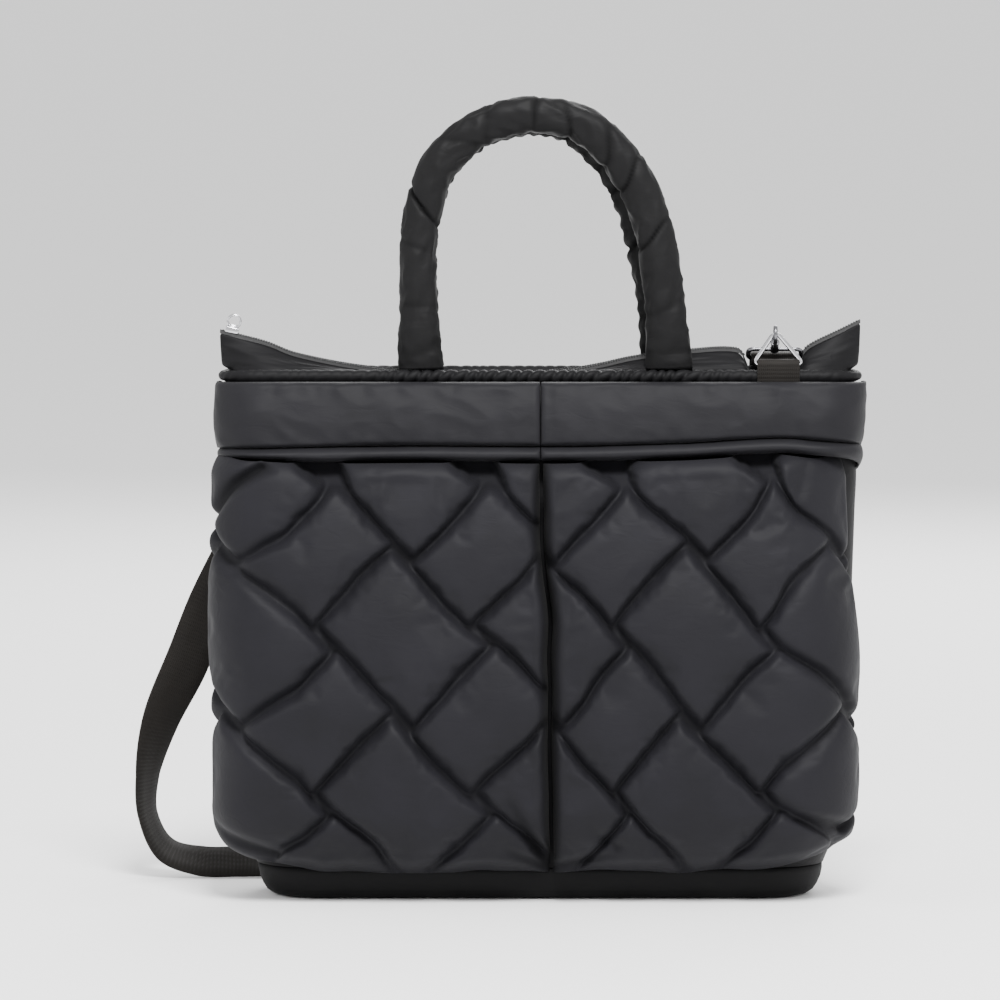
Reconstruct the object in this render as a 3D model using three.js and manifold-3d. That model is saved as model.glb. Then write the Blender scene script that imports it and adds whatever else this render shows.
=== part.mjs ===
// Padded tote bag with two woven front pockets, twin tube handles and a clip-on shoulder strap.
// Millimetres, +Z up, +X to the right seen from the front, +Y from the front to the back.
// The origin is the middle of the flat underside.
import * as THREE from 'three';
import { mergeVertices } from 'three/addons/utils/BufferGeometryUtils.js';
import Module from 'manifold-3d';

const wasm = await Module();
wasm.setup();

// Facets: how many flat steps each curved form is made of
const BODY_FACETS = { outer: { flat: 6, rows: 10 }, inner: { flat: 4, rows: 5 }, corner: 5 };
const POCKET_LINING_FACETS = { columns: 16, rows: 8 };
const STRIP_FACETS = { outer: { columns: 16, rows: 3 }, inner: { columns: 12, rows: 1 } };
const BINDING_FACETS = { front: 30, back: 8, corner: 4, sides: 8 };
const WIRE_FACETS = { slider: { sides: 5, round: 14 }, ring: 6, hook: 5, hookBend: 3, bar: 6, barBend: 2 };
const BARREL_FACETS = 10;
const TAB_FACETS = 6;
const STRAP_TURN_FACETS = 4;
const WELD_DISTANCE = 1e-4;

// Driving dimensions of the body
const WALL = 5;
const SEAT = 0.4;
const BASE_TOP = 22;
const BASE_FLOOR = 5;
const BASE_EDGE = [{ z: 0, offset: -7 }, { z: 2.5, offset: -2 }, { z: 8, offset: 0 }];
const BASE_FILLET = 2;
const BASE_STEPS = 18;
const WALL_TOP = 341;

// Outline of the body: a rounded rectangle at each height
const BODY_SECTIONS = [
  { z: 0, halfWidth: 182, halfDepth: 45, corner: 34 },
  { z: 12, halfWidth: 186, halfDepth: 49, corner: 37 },
  { z: 22, halfWidth: 189, halfDepth: 51, corner: 38 },
  { z: 50, halfWidth: 199, halfDepth: 57, corner: 42 },
  { z: 110, halfWidth: 203, halfDepth: 60, corner: 44 },
  { z: 190, halfWidth: 203, halfDepth: 55, corner: 42 },
  { z: 260, halfWidth: 205, halfDepth: 44, corner: 36 },
  { z: 300, halfWidth: 208, halfDepth: 37, corner: 31 },
  { z: WALL_TOP, halfWidth: 212, halfDepth: 27, corner: 24 },
];

// Pocket fronts: how far they wrap round, and the hollow behind them
const POCKET_START = 2.25;
const POCKET_END = 223;
const POCKET_LOW = 20;
const POCKET_SKIN = 4;
const POUCH_DEPTH = 14;
const EDGE_STAND = 0.9;
const TUCK = 0.6;
const POUCH_EDGE = 44;
const CENTRE_SEAM = { edge: 34, top: 252, fade: 36 };
const TOP_ROW = 3;

// Diagonal plain weave of the pockets: distance of the pads, and their share of it
const WEAVE = { firstColumn: 42, firstRow: 15.5, columnStep: 53, rowStep: 54.2, height: 11, fade: 15 };
const PAD_SHARES = {
  rising: { along: 0.94, across: 0.7 },
  falling: { along: 1.12, across: 0.885 },
};
const PAD_ROUNDING = 0.4;
const WEAVE_CELLS = 6;

// Band and hem over the pocket mouths, with the lower edge of the band along the front
const BAND_TOP = 344;
const BAND_THICK = 6;
const BAND_CROWN = 2.2;
const MOUTH_DEPTH = 13;
const MOUTH_TAPER = 46;
const SEWN_THICK = 0.5;
const SEAM_ROOM = 1.5;
const HEM_DROP = 10;
const HEM_THICK = 5;
const HEM_CROWN = 2.5;
const CENTRE_GAP = 0.8;
const BAND_END_DIP = { depth: 3.2, start: 185, length: 40 };
const BAND_EDGE = [
  { u: -235, z: 298 },
  { u: -170, z: 301 },
  { u: -80, z: 302.5 },
  { u: 0, z: 302 },
  { u: 90, z: 304 },
  { u: 160, z: 307.5 },
  { u: 200, z: 303 },
  { u: 235, z: 296 },
];

// Rolled binding round the mouth
const BINDING_RADIUS = 4.7;
const BINDING_GAP = 0.3;
const BINDING_Z = WALL_TOP + BINDING_GAP + BINDING_RADIUS;
const BINDING_PUCKER = { depth: 0.09, turns: 9, from: -130, to: 140, fade: 60 };

// Top gussets: height of the zip line along the bag, and half the gap between the two sides
const GUSSET_INSET = 8;
const GUSSET_THICK = 2.5;
const GUSSET_FOOT = 331;
const GUSSET_SHOULDER = 350;
const CREST_HALF_LENGTH = 213;
const CREST = [
  { x: -214, z: 374, halfGap: 1 },
  { x: -198, z: 370, halfGap: 1.4 },
  { x: -183, z: 366, halfGap: 2 },
  { x: -162, z: 358, halfGap: 3.5 },
  { x: -110, z: 347.5, halfGap: 8 },
  { x: -20, z: 343.5, halfGap: 10 },
  { x: 20, z: 346.5, halfGap: 9 },
  { x: 56, z: 353, halfGap: 8 },
  { x: 68, z: 347, halfGap: 8 },
  { x: 100, z: 347, halfGap: 8 },
  { x: 110, z: 358, halfGap: 7 },
  { x: 127, z: 359, halfGap: 6 },
  { x: 135, z: 346, halfGap: 5 },
  { x: 174, z: 346.5, halfGap: 3.5 },
  { x: 184, z: 364, halfGap: 2.6 },
  { x: 198, z: 373, halfGap: 1.6 },
  { x: 214, z: 381, halfGap: 1 },
];
const ZIP_TALL = 3;
const ZIP_WIDE = 2.4;
const SLIDER = { x: -203, length: 9, width: 8, tall: 4, ringRadius: 4.2, ringWire: 0.9, room: 1.2 };

// Handles: the middle line of the tube, its width in the front view and its depth
const HANDLE_SEAT = 0.6;
const HANDLE_FOOT = BINDING_Z + BINDING_RADIUS + HANDLE_SEAT;
const HANDLE_ROUTE = [
  { x: -79, z: HANDLE_FOOT, width: 30, depth: 14, y: 19.5 },
  { x: -80.5, z: 384, width: 26.5, depth: 19, y: 19.5 },
  { x: -81, z: 424, width: 24.5, depth: 21, y: 18.5 },
  { x: -78, z: 455, width: 25, depth: 21, y: 17.5 },
  { x: -67, z: 486, width: 25, depth: 21, y: 17 },
  { x: -41, z: 509.5, width: 24.5, depth: 21, y: 16.5 },
  { x: -7, z: 519.5, width: 24.5, depth: 21, y: 16.5 },
  { x: 30, z: 511.5, width: 25, depth: 21, y: 16.5 },
  { x: 57, z: 484.5, width: 26, depth: 21, y: 17 },
  { x: 71, z: 456, width: 26, depth: 21, y: 17.5 },
  { x: 78.5, z: 426, width: 26, depth: 21, y: 18.5 },
  { x: 83, z: 390, width: 27.5, depth: 19, y: 19.5 },
  { x: 85.5, z: HANDLE_FOOT, width: 31, depth: 14, y: 19.5 },
];
const HANDLE_STEPS = 30;
const HANDLE_SIDES = 8;
const HANDLE_PUCKERS = 8;
const HANDLE_PUCKER_DEPTH = 0.8;
const REAR_HANDLE = { lower: 0.965, narrower: 0.96 };

// Triangular rings, their webbing tabs and the strap hooks
const RING = { wire: 1.5, halfBase: 17, rise: 22.5, apexShift: -2, bend: 2.4 };
const TAB = { thick: 2, room: 0.4, width: 24, leg: 17, tail: 2.6 };
const RIGHT_TAB = { x: 157.5, y: -28.3, z: 354.5 };
const LEFT_TAB = { x: -150, z: 320, standOff: 5.6 };
const LEFT_SLOPE = { high: 340, low: 250 };
const LEFT_RING_LIFT = THREE.MathUtils.degToRad(14);
const LEFT_HOOK_SWING = THREE.MathUtils.degToRad(31);
const HOOK = {
  wire: 1.4, loopTall: 9, loopEnd: 11, barrelStart: 9.5, barrelEnd: 18, barrelRadius: 3.2,
  barWire: 1.5, barHalf: 17.5, barStart: 17, barEnd: 27, bend: 3.5, bendRoom: 0.1,
};
const RIGHT_HOOK_DIP = THREE.MathUtils.degToRad(41);

// Shoulder strap: its route behind the bag, turn is the lean of the webbing (0 faces the front)
const STRAP_WIDTH = 30;
const STRAP_THICK = 2;
const STRAP_TAIL = 24;
const STRAP_TURN_IN = { way: 4, share: 0.8 };
const STRAP_ROUTE = [
  { x: -200, y: 58, z: 234, turn: 0 },
  { x: -223, y: 63, z: 187, turn: 0 },
  { x: -239, y: 66, z: 147, turn: 6 },
  { x: -257, y: 68, z: 107, turn: 36 },
  { x: -266, y: 69, z: 70, turn: 62 },
  { x: -266, y: 70, z: 42, turn: 70 },
  { x: -254, y: 71, z: 18.5, turn: 64 },
  { x: -230, y: 72, z: 10.4, turn: 56 },
  { x: -200, y: 73, z: 10, turn: 55 },
  { x: -165, y: 73, z: 8.4, turn: 64 },
  { x: -110, y: 72, z: 2.9, turn: 86 },
  { x: -40, y: 71, z: 1.8, turn: 90 },
  { x: 30, y: 71, z: 2.4, turn: 88 },
  { x: 80, y: 72, z: 9, turn: 74 },
  { x: 115, y: 73, z: 34, turn: 48 },
  { x: 138, y: 73, z: 80, turn: 20 },
  { x: 150, y: 71, z: 140, turn: 4 },
  { x: 155, y: 66, z: 200, turn: 0 },
  { x: 155.5, y: 56, z: 255, turn: 0 },
  { x: 155.5, y: 47, z: 305, turn: 0 },
  { x: 155.5, y: 41, z: 334, turn: 0 },
  { x: 155.5, y: 35.5, z: 351, turn: 0 },
  { x: 155.5, y: 27, z: 359, turn: 0 },
];

// Finishes
const FINISHES = {
  bandNylon: { color: 0x424246, roughness: 0.55, metalness: 0 },
  wovenNylon: { color: 0x34343a, roughness: 0.55, metalness: 0 },
  bodyNylon: { color: 0x2e2e31, roughness: 0.6, metalness: 0 },
  handleNylon: { color: 0x2d2d2f, roughness: 0.6, metalness: 0 },
  baseNylon: { color: 0x202021, roughness: 0.65, metalness: 0 },
  webbing: { color: 0x262422, roughness: 0.75, metalness: 0 },
  zipTeeth: { color: 0x3a3a3c, roughness: 0.4, metalness: 0.2 },
  steel: { color: 0xcfcfd2, roughness: 0.18, metalness: 1 },
  darkSteel: { color: 0x6c6c70, roughness: 0.3, metalness: 1 },
};

const bag = new THREE.Group();

function addPiece(name, geometry, finish) {
  geometry.computeVertexNormals();
  const mesh = new THREE.Mesh(geometry, new THREE.MeshStandardMaterial(finish));
  mesh.name = name;
  bag.add(mesh);
  return mesh;
}

// Reads a column of a table at a place along it, on a smooth curve that never overshoots its rows.
function readTable(rows, key, place, column) {
  const last = rows.length - 1;
  const at = THREE.MathUtils.clamp(place, rows[0][key], rows[last][key]);
  let k = 0;
  while (k < last - 1 && rows[k + 1][key] < at) k += 1;
  const slope = (i) => (rows[i + 1][column] - rows[i][column]) / (rows[i + 1][key] - rows[i][key]);
  const tangent = (i) => {
    if (i === 0) return slope(0);
    if (i === last) return slope(last - 1);
    const before = slope(i - 1);
    const after = slope(i);
    return before * after <= 0 ? 0 : (2 * before * after) / (before + after);
  };
  const span = rows[k + 1][key] - rows[k][key];
  const t = (at - rows[k][key]) / span;
  const rise = t * t * (3 - 2 * t);
  const bend = t * (1 - t) * span;
  const straight = rows[k][column] * (1 - rise) + rows[k + 1][column] * rise;
  return straight + bend * ((1 - t) * tangent(k) - t * tangent(k + 1));
}

function bodySection(z) {
  return {
    halfWidth: readTable(BODY_SECTIONS, 'z', z, 'halfWidth'),
    halfDepth: readTable(BODY_SECTIONS, 'z', z, 'halfDepth'),
    corner: readTable(BODY_SECTIONS, 'z', z, 'corner'),
  };
}

// Length of the wall from the middle of the front to the side seam
function frontHalfLength(z) {
  const { halfWidth, halfDepth, corner } = bodySection(z);
  return halfWidth - corner + (corner * Math.PI) / 2 + halfDepth - corner;
}

// Point on the front half of the body: u runs along the wall from the middle, offset stands out from it.
function wallPoint(u, z, offset) {
  const { halfWidth, halfDepth, corner } = bodySection(z);
  const flat = halfWidth - corner;
  const arc = (corner * Math.PI) / 2;
  const along = Math.abs(u);
  const side = u < 0 ? -1 : 1;
  if (along <= flat) return new THREE.Vector3(u, -(halfDepth + offset), z);
  if (along <= flat + arc) {
    const turn = (along - flat) / corner;
    const x = flat + (corner + offset) * Math.sin(turn);
    const y = -(halfDepth - corner) - (corner + offset) * Math.cos(turn);
    return new THREE.Vector3(side * x, y, z);
  }
  return new THREE.Vector3(side * (halfWidth + offset), along - flat - arc - (halfDepth - corner), z);
}

// Columns from side seam to side seam: some over the flat front, some round each corner, one on each side
function seamColumns(flatSteps, cornerSteps) {
  const half = flatSteps / 2 + cornerSteps + 1;
  const placeAt = (s, z) => {
    const { halfWidth, corner } = bodySection(z);
    const flat = halfWidth - corner;
    const arc = (corner * Math.PI) / 2;
    const column = Math.abs(2 * s - 1) * half;
    const onCorner = (column - flatSteps / 2) / cornerSteps;
    const onSide = column - flatSteps / 2 - cornerSteps;
    const rest = frontHalfLength(z) - SEAT / 2 - flat - arc;
    let place = flat + arc + rest * onSide;
    if (onCorner <= 1) place = flat + arc * onCorner;
    if (onCorner <= 0) place = (flat * column) / (flatSteps / 2);
    return s < 0.5 ? -place : place;
  };
  return { columns: 2 * half, placeAt };
}

// Closed mesh from points and triangles, turned so that its faces point out
function closedMesh(points, triangles) {
  let volume = 0;
  for (const [a, b, c] of triangles) {
    volume += points[a].dot(new THREE.Vector3().crossVectors(points[b], points[c]));
  }
  const index = triangles.flatMap(([a, b, c]) => (volume > 0 ? [a, b, c] : [a, c, b]));
  const geometry = new THREE.BufferGeometry().setFromPoints(points);
  geometry.setIndex(index);
  return geometry;
}

// Grid of points { columns, rows, at(s, t) } as triangles; each cell folds along its lower diagonal
function gridFace(grid, points) {
  const first = points.length;
  const id = (i, j) => first + j * (grid.columns + 1) + i;
  for (let j = 0; j <= grid.rows; j += 1) {
    for (let i = 0; i <= grid.columns; i += 1) points.push(grid.at(i / grid.columns, j / grid.rows));
  }
  const triangles = [];
  for (let j = 0; j < grid.rows; j += 1) {
    for (let i = 0; i < grid.columns; i += 1) {
      const [a, b, c, d] = [id(i, j), id(i + 1, j), id(i + 1, j + 1), id(i, j + 1)];
      const rising = points[c].clone().sub(points[a]);
      const falling = points[d].clone().sub(points[b]);
      const out = new THREE.Vector3().crossVectors(rising, falling);
      const step = points[b].clone().add(points[d]).sub(points[a]).sub(points[c]);
      triangles.push(...(step.dot(out) >= 0 ? [[a, b, c], [a, c, d]] : [[a, b, d], [b, c, d]]));
    }
  }
  const steps = (count) => Array.from({ length: count + 1 }, (unused, k) => k);
  const borders = [
    steps(grid.columns).map((i) => id(i, 0)),
    steps(grid.rows).map((j) => id(grid.columns, j)),
    steps(grid.columns).map((i) => id(grid.columns - i, grid.rows)),
    steps(grid.rows).map((j) => id(0, grid.rows - j)),
  ];
  return { triangles, borders };
}

// Wall between a border of the outer face and the same border of the inner face
function zipBorders(outer, inner) {
  const triangles = [];
  let i = 0;
  let k = 0;
  while (i < outer.length - 1 || k < inner.length - 1) {
    const outerNext = (i + 1) / (outer.length - 1);
    const innerNext = (k + 1) / (inner.length - 1);
    if (k === inner.length - 1 || (i < outer.length - 1 && outerNext <= innerNext)) {
      triangles.push([outer[i + 1], outer[i], inner[k]]);
      i += 1;
    } else {
      triangles.push([outer[i], inner[k], inner[k + 1]]);
      k += 1;
    }
  }
  return triangles;
}

// Closed slab between an outer and an inner grid with the same four corners
function slab(outer, inner) {
  const points = [];
  const front = gridFace(outer, points);
  const back = gridFace(inner, points);
  const triangles = [...front.triangles];
  triangles.push(...back.triangles.map(([a, b, c]) => [a, c, b]));
  front.borders.forEach((border, k) => triangles.push(...zipBorders(border, back.borders[k])));
  return closedMesh(points, triangles);
}

// Closed skin over a row of rings; the ends are capped, or joined to each other
function skinRings(rings, joined = false) {
  const sides = rings[0].length;
  const points = rings.flat();
  const triangles = [];
  const spans = joined ? rings.length : rings.length - 1;
  for (let r = 0; r < spans; r += 1) {
    const here = r * sides;
    const next = ((r + 1) % rings.length) * sides;
    for (let s = 0; s < sides; s += 1) {
      const t = (s + 1) % sides;
      triangles.push([here + s, here + t, next + t], [here + s, next + t, next + s]);
    }
  }
  if (!joined) {
    const lastRing = (rings.length - 1) * sides;
    for (let s = 1; s < sides - 1; s += 1) {
      triangles.push([0, s + 1, s], [lastRing, lastRing + s, lastRing + s + 1]);
    }
  }
  return closedMesh(points, triangles);
}

// The same piece on the back of the bag
function onBack(geometry) {
  const points = [];
  const place = geometry.getAttribute('position');
  for (let k = 0; k < place.count; k += 1) {
    points.push(new THREE.Vector3(place.getX(k), -place.getY(k), place.getZ(k)));
  }
  const triangles = [];
  const index = geometry.getIndex().array;
  for (let k = 0; k < index.length; k += 3) triangles.push([index[k], index[k + 1], index[k + 2]]);
  return closedMesh(points, triangles);
}

// Body halves, each from side seam to side seam
function bodyHalf() {
  const layer = ({ columns, placeAt }, rows, offset) => ({
    columns,
    rows,
    at: (s, t) => {
      const z = THREE.MathUtils.lerp(BASE_TOP + SEAT, WALL_TOP, t);
      return wallPoint(placeAt(s, z), z, offset);
    },
  });
  const { outer, inner, corner } = BODY_FACETS;
  const outside = layer(seamColumns(outer.flat, corner), outer.rows, 0);
  return slab(outside, layer(seamColumns(inner.flat, corner), inner.rows, -WALL));
}

// Ring of points all round the body
function wallRing(z, offset, perHalf) {
  const ring = [];
  for (let k = 0; k < 2 * perHalf; k += 1) {
    const front = k < perHalf;
    const share = front ? -1 + (2 * k) / perHalf : 3 - (2 * k) / perHalf;
    const point = wallPoint(share * frontHalfLength(z), z, offset);
    if (!front) point.y = -point.y;
    ring.push(point);
  }
  return ring;
}

// Bottom of the bag: a flat underside with a rounded edge and an upturned wall
function baseTray() {
  const rows = [
    ...BASE_EDGE,
    { z: BASE_TOP, offset: 0 },
    { z: BASE_TOP, offset: -WALL },
    { z: BASE_FLOOR, offset: -WALL - BASE_FILLET },
  ];
  return skinRings(rows.map((row) => wallRing(row.z, row.offset, BASE_STEPS)));
}

// Height of the woven pads over the valleys, from 0 to 1
function weaveRelief(along, z, side) {
  const column = (along - WEAVE.firstColumn) / WEAVE.columnStep;
  const row = (z - WEAVE.firstRow) / WEAVE.rowStep;
  const outUp = (column + row) / 2;
  const outDown = (column - row) / 2;
  let height = 0;
  for (let a = Math.round(outUp) - 1; a <= Math.round(outUp) + 1; a += 1) {
    for (let b = Math.round(outDown) - 1; b <= Math.round(outDown) + 1; b += 1) {
      const rising = (a + b) % 2 === 0;
      const shares = rising ? PAD_SHARES.rising : PAD_SHARES.falling;
      const longOutUp = rising === (side > 0);
      const halfUp = (longOutUp ? shares.along : shares.across) / 2;
      const halfDown = (longOutUp ? shares.across : shares.along) / 2;
      const edgeUp = 1 - ((outUp - a) / halfUp) ** 2;
      const edgeDown = 1 - ((outDown - b) / halfDown) ** 2;
      if (edgeUp > 0 && edgeDown > 0) height = Math.max(height, (edgeUp * edgeDown) ** PAD_ROUNDING);
    }
  }
  return height;
}

const rise = (distance, length) => THREE.MathUtils.smoothstep(distance, 0, length);
const bandEdge = (u) => readTable(BAND_EDGE, 'u', u, 'z');
const bandTop = (u) => BAND_TOP - BAND_END_DIP.depth * rise(Math.abs(u) - BAND_END_DIP.start, BAND_END_DIP.length);
const pocketTop = (u) => bandEdge(u) - HEM_DROP - TUCK;

// How far the back of a pocket front stands off the body: sewn down at the sides, bottom and middle
function pouchStand(along, z) {
  const openAbove = rise(z - CENTRE_SEAM.top, CENTRE_SEAM.fade);
  const middle = THREE.MathUtils.lerp(rise(along - POCKET_START, CENTRE_SEAM.edge), 1, openAbove);
  const sewn = middle * rise(POCKET_END - along, POUCH_EDGE) * rise(z - POCKET_LOW, POUCH_EDGE);
  return EDGE_STAND + (POUCH_DEPTH - EDGE_STAND) * sewn;
}

// Woven pocket front: its grid follows the weave, so that the valleys run along the edges of the faces
function pocketFront(side) {
  const columns = Math.round(((POCKET_END - POCKET_START) / WEAVE.columnStep) * WEAVE_CELLS);
  const rows = Math.round(((pocketTop(0) - POCKET_LOW) / WEAVE.rowStep) * WEAVE_CELLS);
  const alongAt = (s) => THREE.MathUtils.lerp(POCKET_START, POCKET_END, side > 0 ? s : 1 - s);
  const heightAt = (t, u) => {
    const woven = POCKET_LOW + (t * rows * WEAVE.rowStep) / WEAVE_CELLS;
    return t === 1 ? pocketTop(u) : Math.min(woven, pocketTop(u) - TOP_ROW);
  };
  const outer = {
    columns,
    rows,
    at: (s, t) => {
      const along = alongAt(s);
      const z = heightAt(t, side * along);
      const sides = rise(along - POCKET_START, WEAVE.fade) * rise(POCKET_END - along, WEAVE.fade);
      const ends = rise(z - POCKET_LOW, WEAVE.fade) * rise(pocketTop(side * along) - z, WEAVE.fade);
      const puff = WEAVE.height * weaveRelief(along, z, side) * Math.sqrt(sides * ends);
      return wallPoint(side * along, z, pouchStand(along, z) + POCKET_SKIN + puff);
    },
  };
  const inner = {
    ...POCKET_LINING_FACETS,
    at: (s, t) => {
      const along = alongAt(s);
      const z = heightAt(t, side * along);
      return wallPoint(side * along, z, pouchStand(along, z));
    },
  };
  return slab(outer, inner);
}

// Smooth band or hem over a pocket mouth, standing off the body and sewn down at the side seam
function mouthStrip(side, lowEdge, highEdge, thick, crown) {
  const strip = (columns, rows, stand) => ({
    columns,
    rows,
    at: (s, t) => {
      const share = side > 0 ? s : 1 - s;
      const end = frontHalfLength(lowEdge(0)) - SEAM_ROOM;
      const u = side * THREE.MathUtils.lerp(CENTRE_GAP / 2, end, share);
      const z = THREE.MathUtils.lerp(lowEdge(u), highEdge(u), t);
      const sewn = rise(end - Math.abs(u), MOUTH_TAPER);
      const full = THREE.MathUtils.lerp(SEWN_THICK, 1, sewn);
      return wallPoint(u, z, EDGE_STAND + (MOUTH_DEPTH - EDGE_STAND) * sewn + full * stand(t));
    },
  });
  const puffed = (t) => thick + crown * Math.sin(Math.PI * t);
  const { outer, inner } = STRIP_FACETS;
  return slab(strip(outer.columns, outer.rows, puffed), strip(inner.columns, inner.rows, () => 0));
}

// Rolled binding on the top edge of the wall, twisted into small puckers along the middle
function rimBinding(flatSteps, puckered) {
  const rings = [];
  const { corner, sides } = BINDING_FACETS;
  const { columns, placeAt } = seamColumns(flatSteps, corner);
  for (let k = 0; k <= columns; k += 1) {
    const u = placeAt(k / columns, BINDING_Z);
    const share = u / frontHalfLength(BINDING_Z);
    const centre = wallPoint(u, BINDING_Z, -WALL / 2);
    const out = wallPoint(u, BINDING_Z, 1 - WALL / 2).sub(centre);
    const { depth, turns, from, to, fade } = BINDING_PUCKER;
    const pucker = puckered ? depth * rise(u - from, fade) * rise(to - u, fade) : 0;
    const ring = [];
    for (let s = 0; s < sides; s += 1) {
      const angle = (2 * Math.PI * s) / sides;
      const twist = Math.cos(2 * angle + share * Math.PI * turns);
      const radius = BINDING_RADIUS * (1 - pucker * (1 - twist));
      const point = centre.clone().addScaledVector(out, radius * Math.cos(angle));
      point.z += radius * Math.sin(angle);
      ring.push(point);
    }
    rings.push(ring);
  }
  return skinRings(rings);
}

const crestZ = (x) => readTable(CREST, 'x', x, 'z');
const crestHalfGap = (x) => readTable(CREST, 'x', x, 'halfGap');

// Columns that the gussets and the zip share, and the place of the zip line on them
const crestColumns = seamColumns(26, 3);
const crestX = (s) => (crestColumns.placeAt(s, WALL_TOP) / frontHalfLength(WALL_TOP)) * CREST_HALF_LENGTH;

// Top panel inside the rim: up the wall, then over to the zip line, high at the two ears
function topGusset() {
  const layer = (rows, depth) => ({
    columns: crestColumns.columns,
    rows,
    at: (s, t) => {
      const x = crestX(s);
      const shoulderZ = Math.min(GUSSET_SHOULDER, crestZ(x) - 1);
      const inset = -GUSSET_INSET - depth;
      const shoulder = wallPoint(crestColumns.placeAt(s, WALL_TOP), WALL_TOP, inset).setZ(shoulderZ);
      if (t <= 1 / 3) {
        const foot = shoulder.clone();
        foot.z = GUSSET_FOOT;
        return foot.lerp(shoulder, 3 * t);
      }
      const crest = new THREE.Vector3(x, -crestHalfGap(x) - GUSSET_THICK + depth, crestZ(x));
      const lean = (3 * t - 1) / 2;
      const endX = THREE.MathUtils.lerp(shoulder.x, crest.x, Math.sqrt(lean));
      return shoulder.lerp(crest, lean).setX(endX);
    },
  });
  return slab(layer(3, 0), layer(3, GUSSET_THICK));
}

// Half of the open zip, along the crest of a gusset
function zipTape() {
  const rings = [];
  for (let k = 0; k <= crestColumns.columns; k += 1) {
    const x = crestX(k / crestColumns.columns);
    const y = -crestHalfGap(x) - GUSSET_THICK / 2;
    const low = crestZ(x) + SEAT;
    rings.push([
      new THREE.Vector3(x, y - ZIP_WIDE / 2, low),
      new THREE.Vector3(x, y + ZIP_WIDE / 2, low),
      new THREE.Vector3(x, y + ZIP_WIDE / 2, low + ZIP_TALL),
      new THREE.Vector3(x, y - ZIP_WIDE / 2, low + ZIP_TALL),
    ]);
  }
  return skinRings(rings);
}

// Pull ring and body of the zip slider, parked at the left ear
function zipSlider() {
  const block = new THREE.BoxGeometry(SLIDER.length, SLIDER.width, SLIDER.tall);
  const { sides, round } = WIRE_FACETS.slider;
  const ring = new THREE.TorusGeometry(SLIDER.ringRadius, SLIDER.ringWire, sides, round);
  ring.rotateX(Math.PI / 2);
  ring.translate(0, 0, SLIDER.tall / 2 + SLIDER.ringRadius - SLIDER.ringWire / 2);
  return joinSolids([block, ring]);
}

// Joins closed shapes that overlap into one solid
function joinSolids(shapes) {
  const solids = shapes.map((shape) => {
    const bare = shape.clone();
    bare.deleteAttribute('normal');
    bare.deleteAttribute('uv');
    const merged = mergeVertices(bare, WELD_DISTANCE);
    const vertProperties = new Float32Array(merged.getAttribute('position').array);
    const triVerts = new Uint32Array(merged.getIndex().array);
    return new wasm.Manifold(new wasm.Mesh({ numProp: 3, vertProperties, triVerts }));
  });
  const mesh = solids.reduce((whole, solid) => whole.add(solid)).getMesh();
  const geometry = new THREE.BufferGeometry();
  geometry.setAttribute('position', new THREE.BufferAttribute(new Float32Array(mesh.vertProperties), 3));
  geometry.setIndex(new THREE.BufferAttribute(new Uint32Array(mesh.triVerts), 1));
  return geometry;
}

// Padded tube handle; the rear one is a little lower and narrower than the front one
function handleTube(rear) {
  const steps = HANDLE_ROUTE.map((row, step) => ({ ...row, step }));
  const route = steps.map((row) => {
    const x = rear && row.x > 0 ? row.x * REAR_HANDLE.narrower : row.x;
    const z = rear ? HANDLE_FOOT + (row.z - HANDLE_FOOT) * REAR_HANDLE.lower : row.z;
    return new THREE.Vector3(x, rear ? row.y : -row.y, z);
  });
  const curve = new THREE.CatmullRomCurve3(route, false, 'centripetal');
  const depthWay = new THREE.Vector3(0, 1, 0);
  const rings = [];
  for (let k = 0; k <= HANDLE_STEPS; k += 1) {
    const share = k / HANDLE_STEPS;
    const centre = curve.getPoint(share);
    const along = curve.getTangent(share);
    if (k === 0) along.set(0, 0, 1);
    if (k === HANDLE_STEPS) along.set(0, 0, -1);
    const across = new THREE.Vector3().crossVectors(along, depthWay).normalize();
    const width = readTable(steps, 'step', share * (steps.length - 1), 'width');
    const depth = readTable(steps, 'step', share * (steps.length - 1), 'depth');
    const sewnEnd = k === 0 || k === HANDLE_STEPS ? 0 : 1;
    const ring = [];
    for (let s = 0; s < HANDLE_SIDES; s += 1) {
      const angle = (2 * Math.PI * s) / HANDLE_SIDES;
      const pucker = HANDLE_PUCKER_DEPTH * sewnEnd * Math.cos(2 * Math.PI * HANDLE_PUCKERS * share + angle);
      const point = centre.clone().addScaledVector(across, (width / 2 + pucker) * Math.cos(angle));
      ring.push(point.addScaledVector(depthWay, (depth / 2 + pucker) * Math.sin(angle)));
    }
    rings.push(ring);
  }
  return skinRings(rings);
}

// Closed flat outline with its corners rounded
function roundedLoop(corners, bend, perCorner) {
  const loop = [];
  corners.forEach((corner, k) => {
    const before = corners[(k + corners.length - 1) % corners.length].clone().sub(corner).normalize();
    const after = corners[(k + 1) % corners.length].clone().sub(corner).normalize();
    const half = Math.acos(before.dot(after)) / 2;
    const middle = before.clone().add(after).normalize();
    const centre = corner.clone().addScaledVector(middle, bend / Math.sin(half));
    const start = corner.clone().addScaledVector(before, bend / Math.tan(half)).sub(centre);
    const turn = Math.sign(before.cross(after)) * -(Math.PI - 2 * half);
    for (let s = 0; s <= perCorner; s += 1) {
      const angle = (turn * s) / perCorner;
      loop.push(start.clone().rotateAround(new THREE.Vector2(), angle).add(centre));
    }
  });
  return loop;
}

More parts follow.
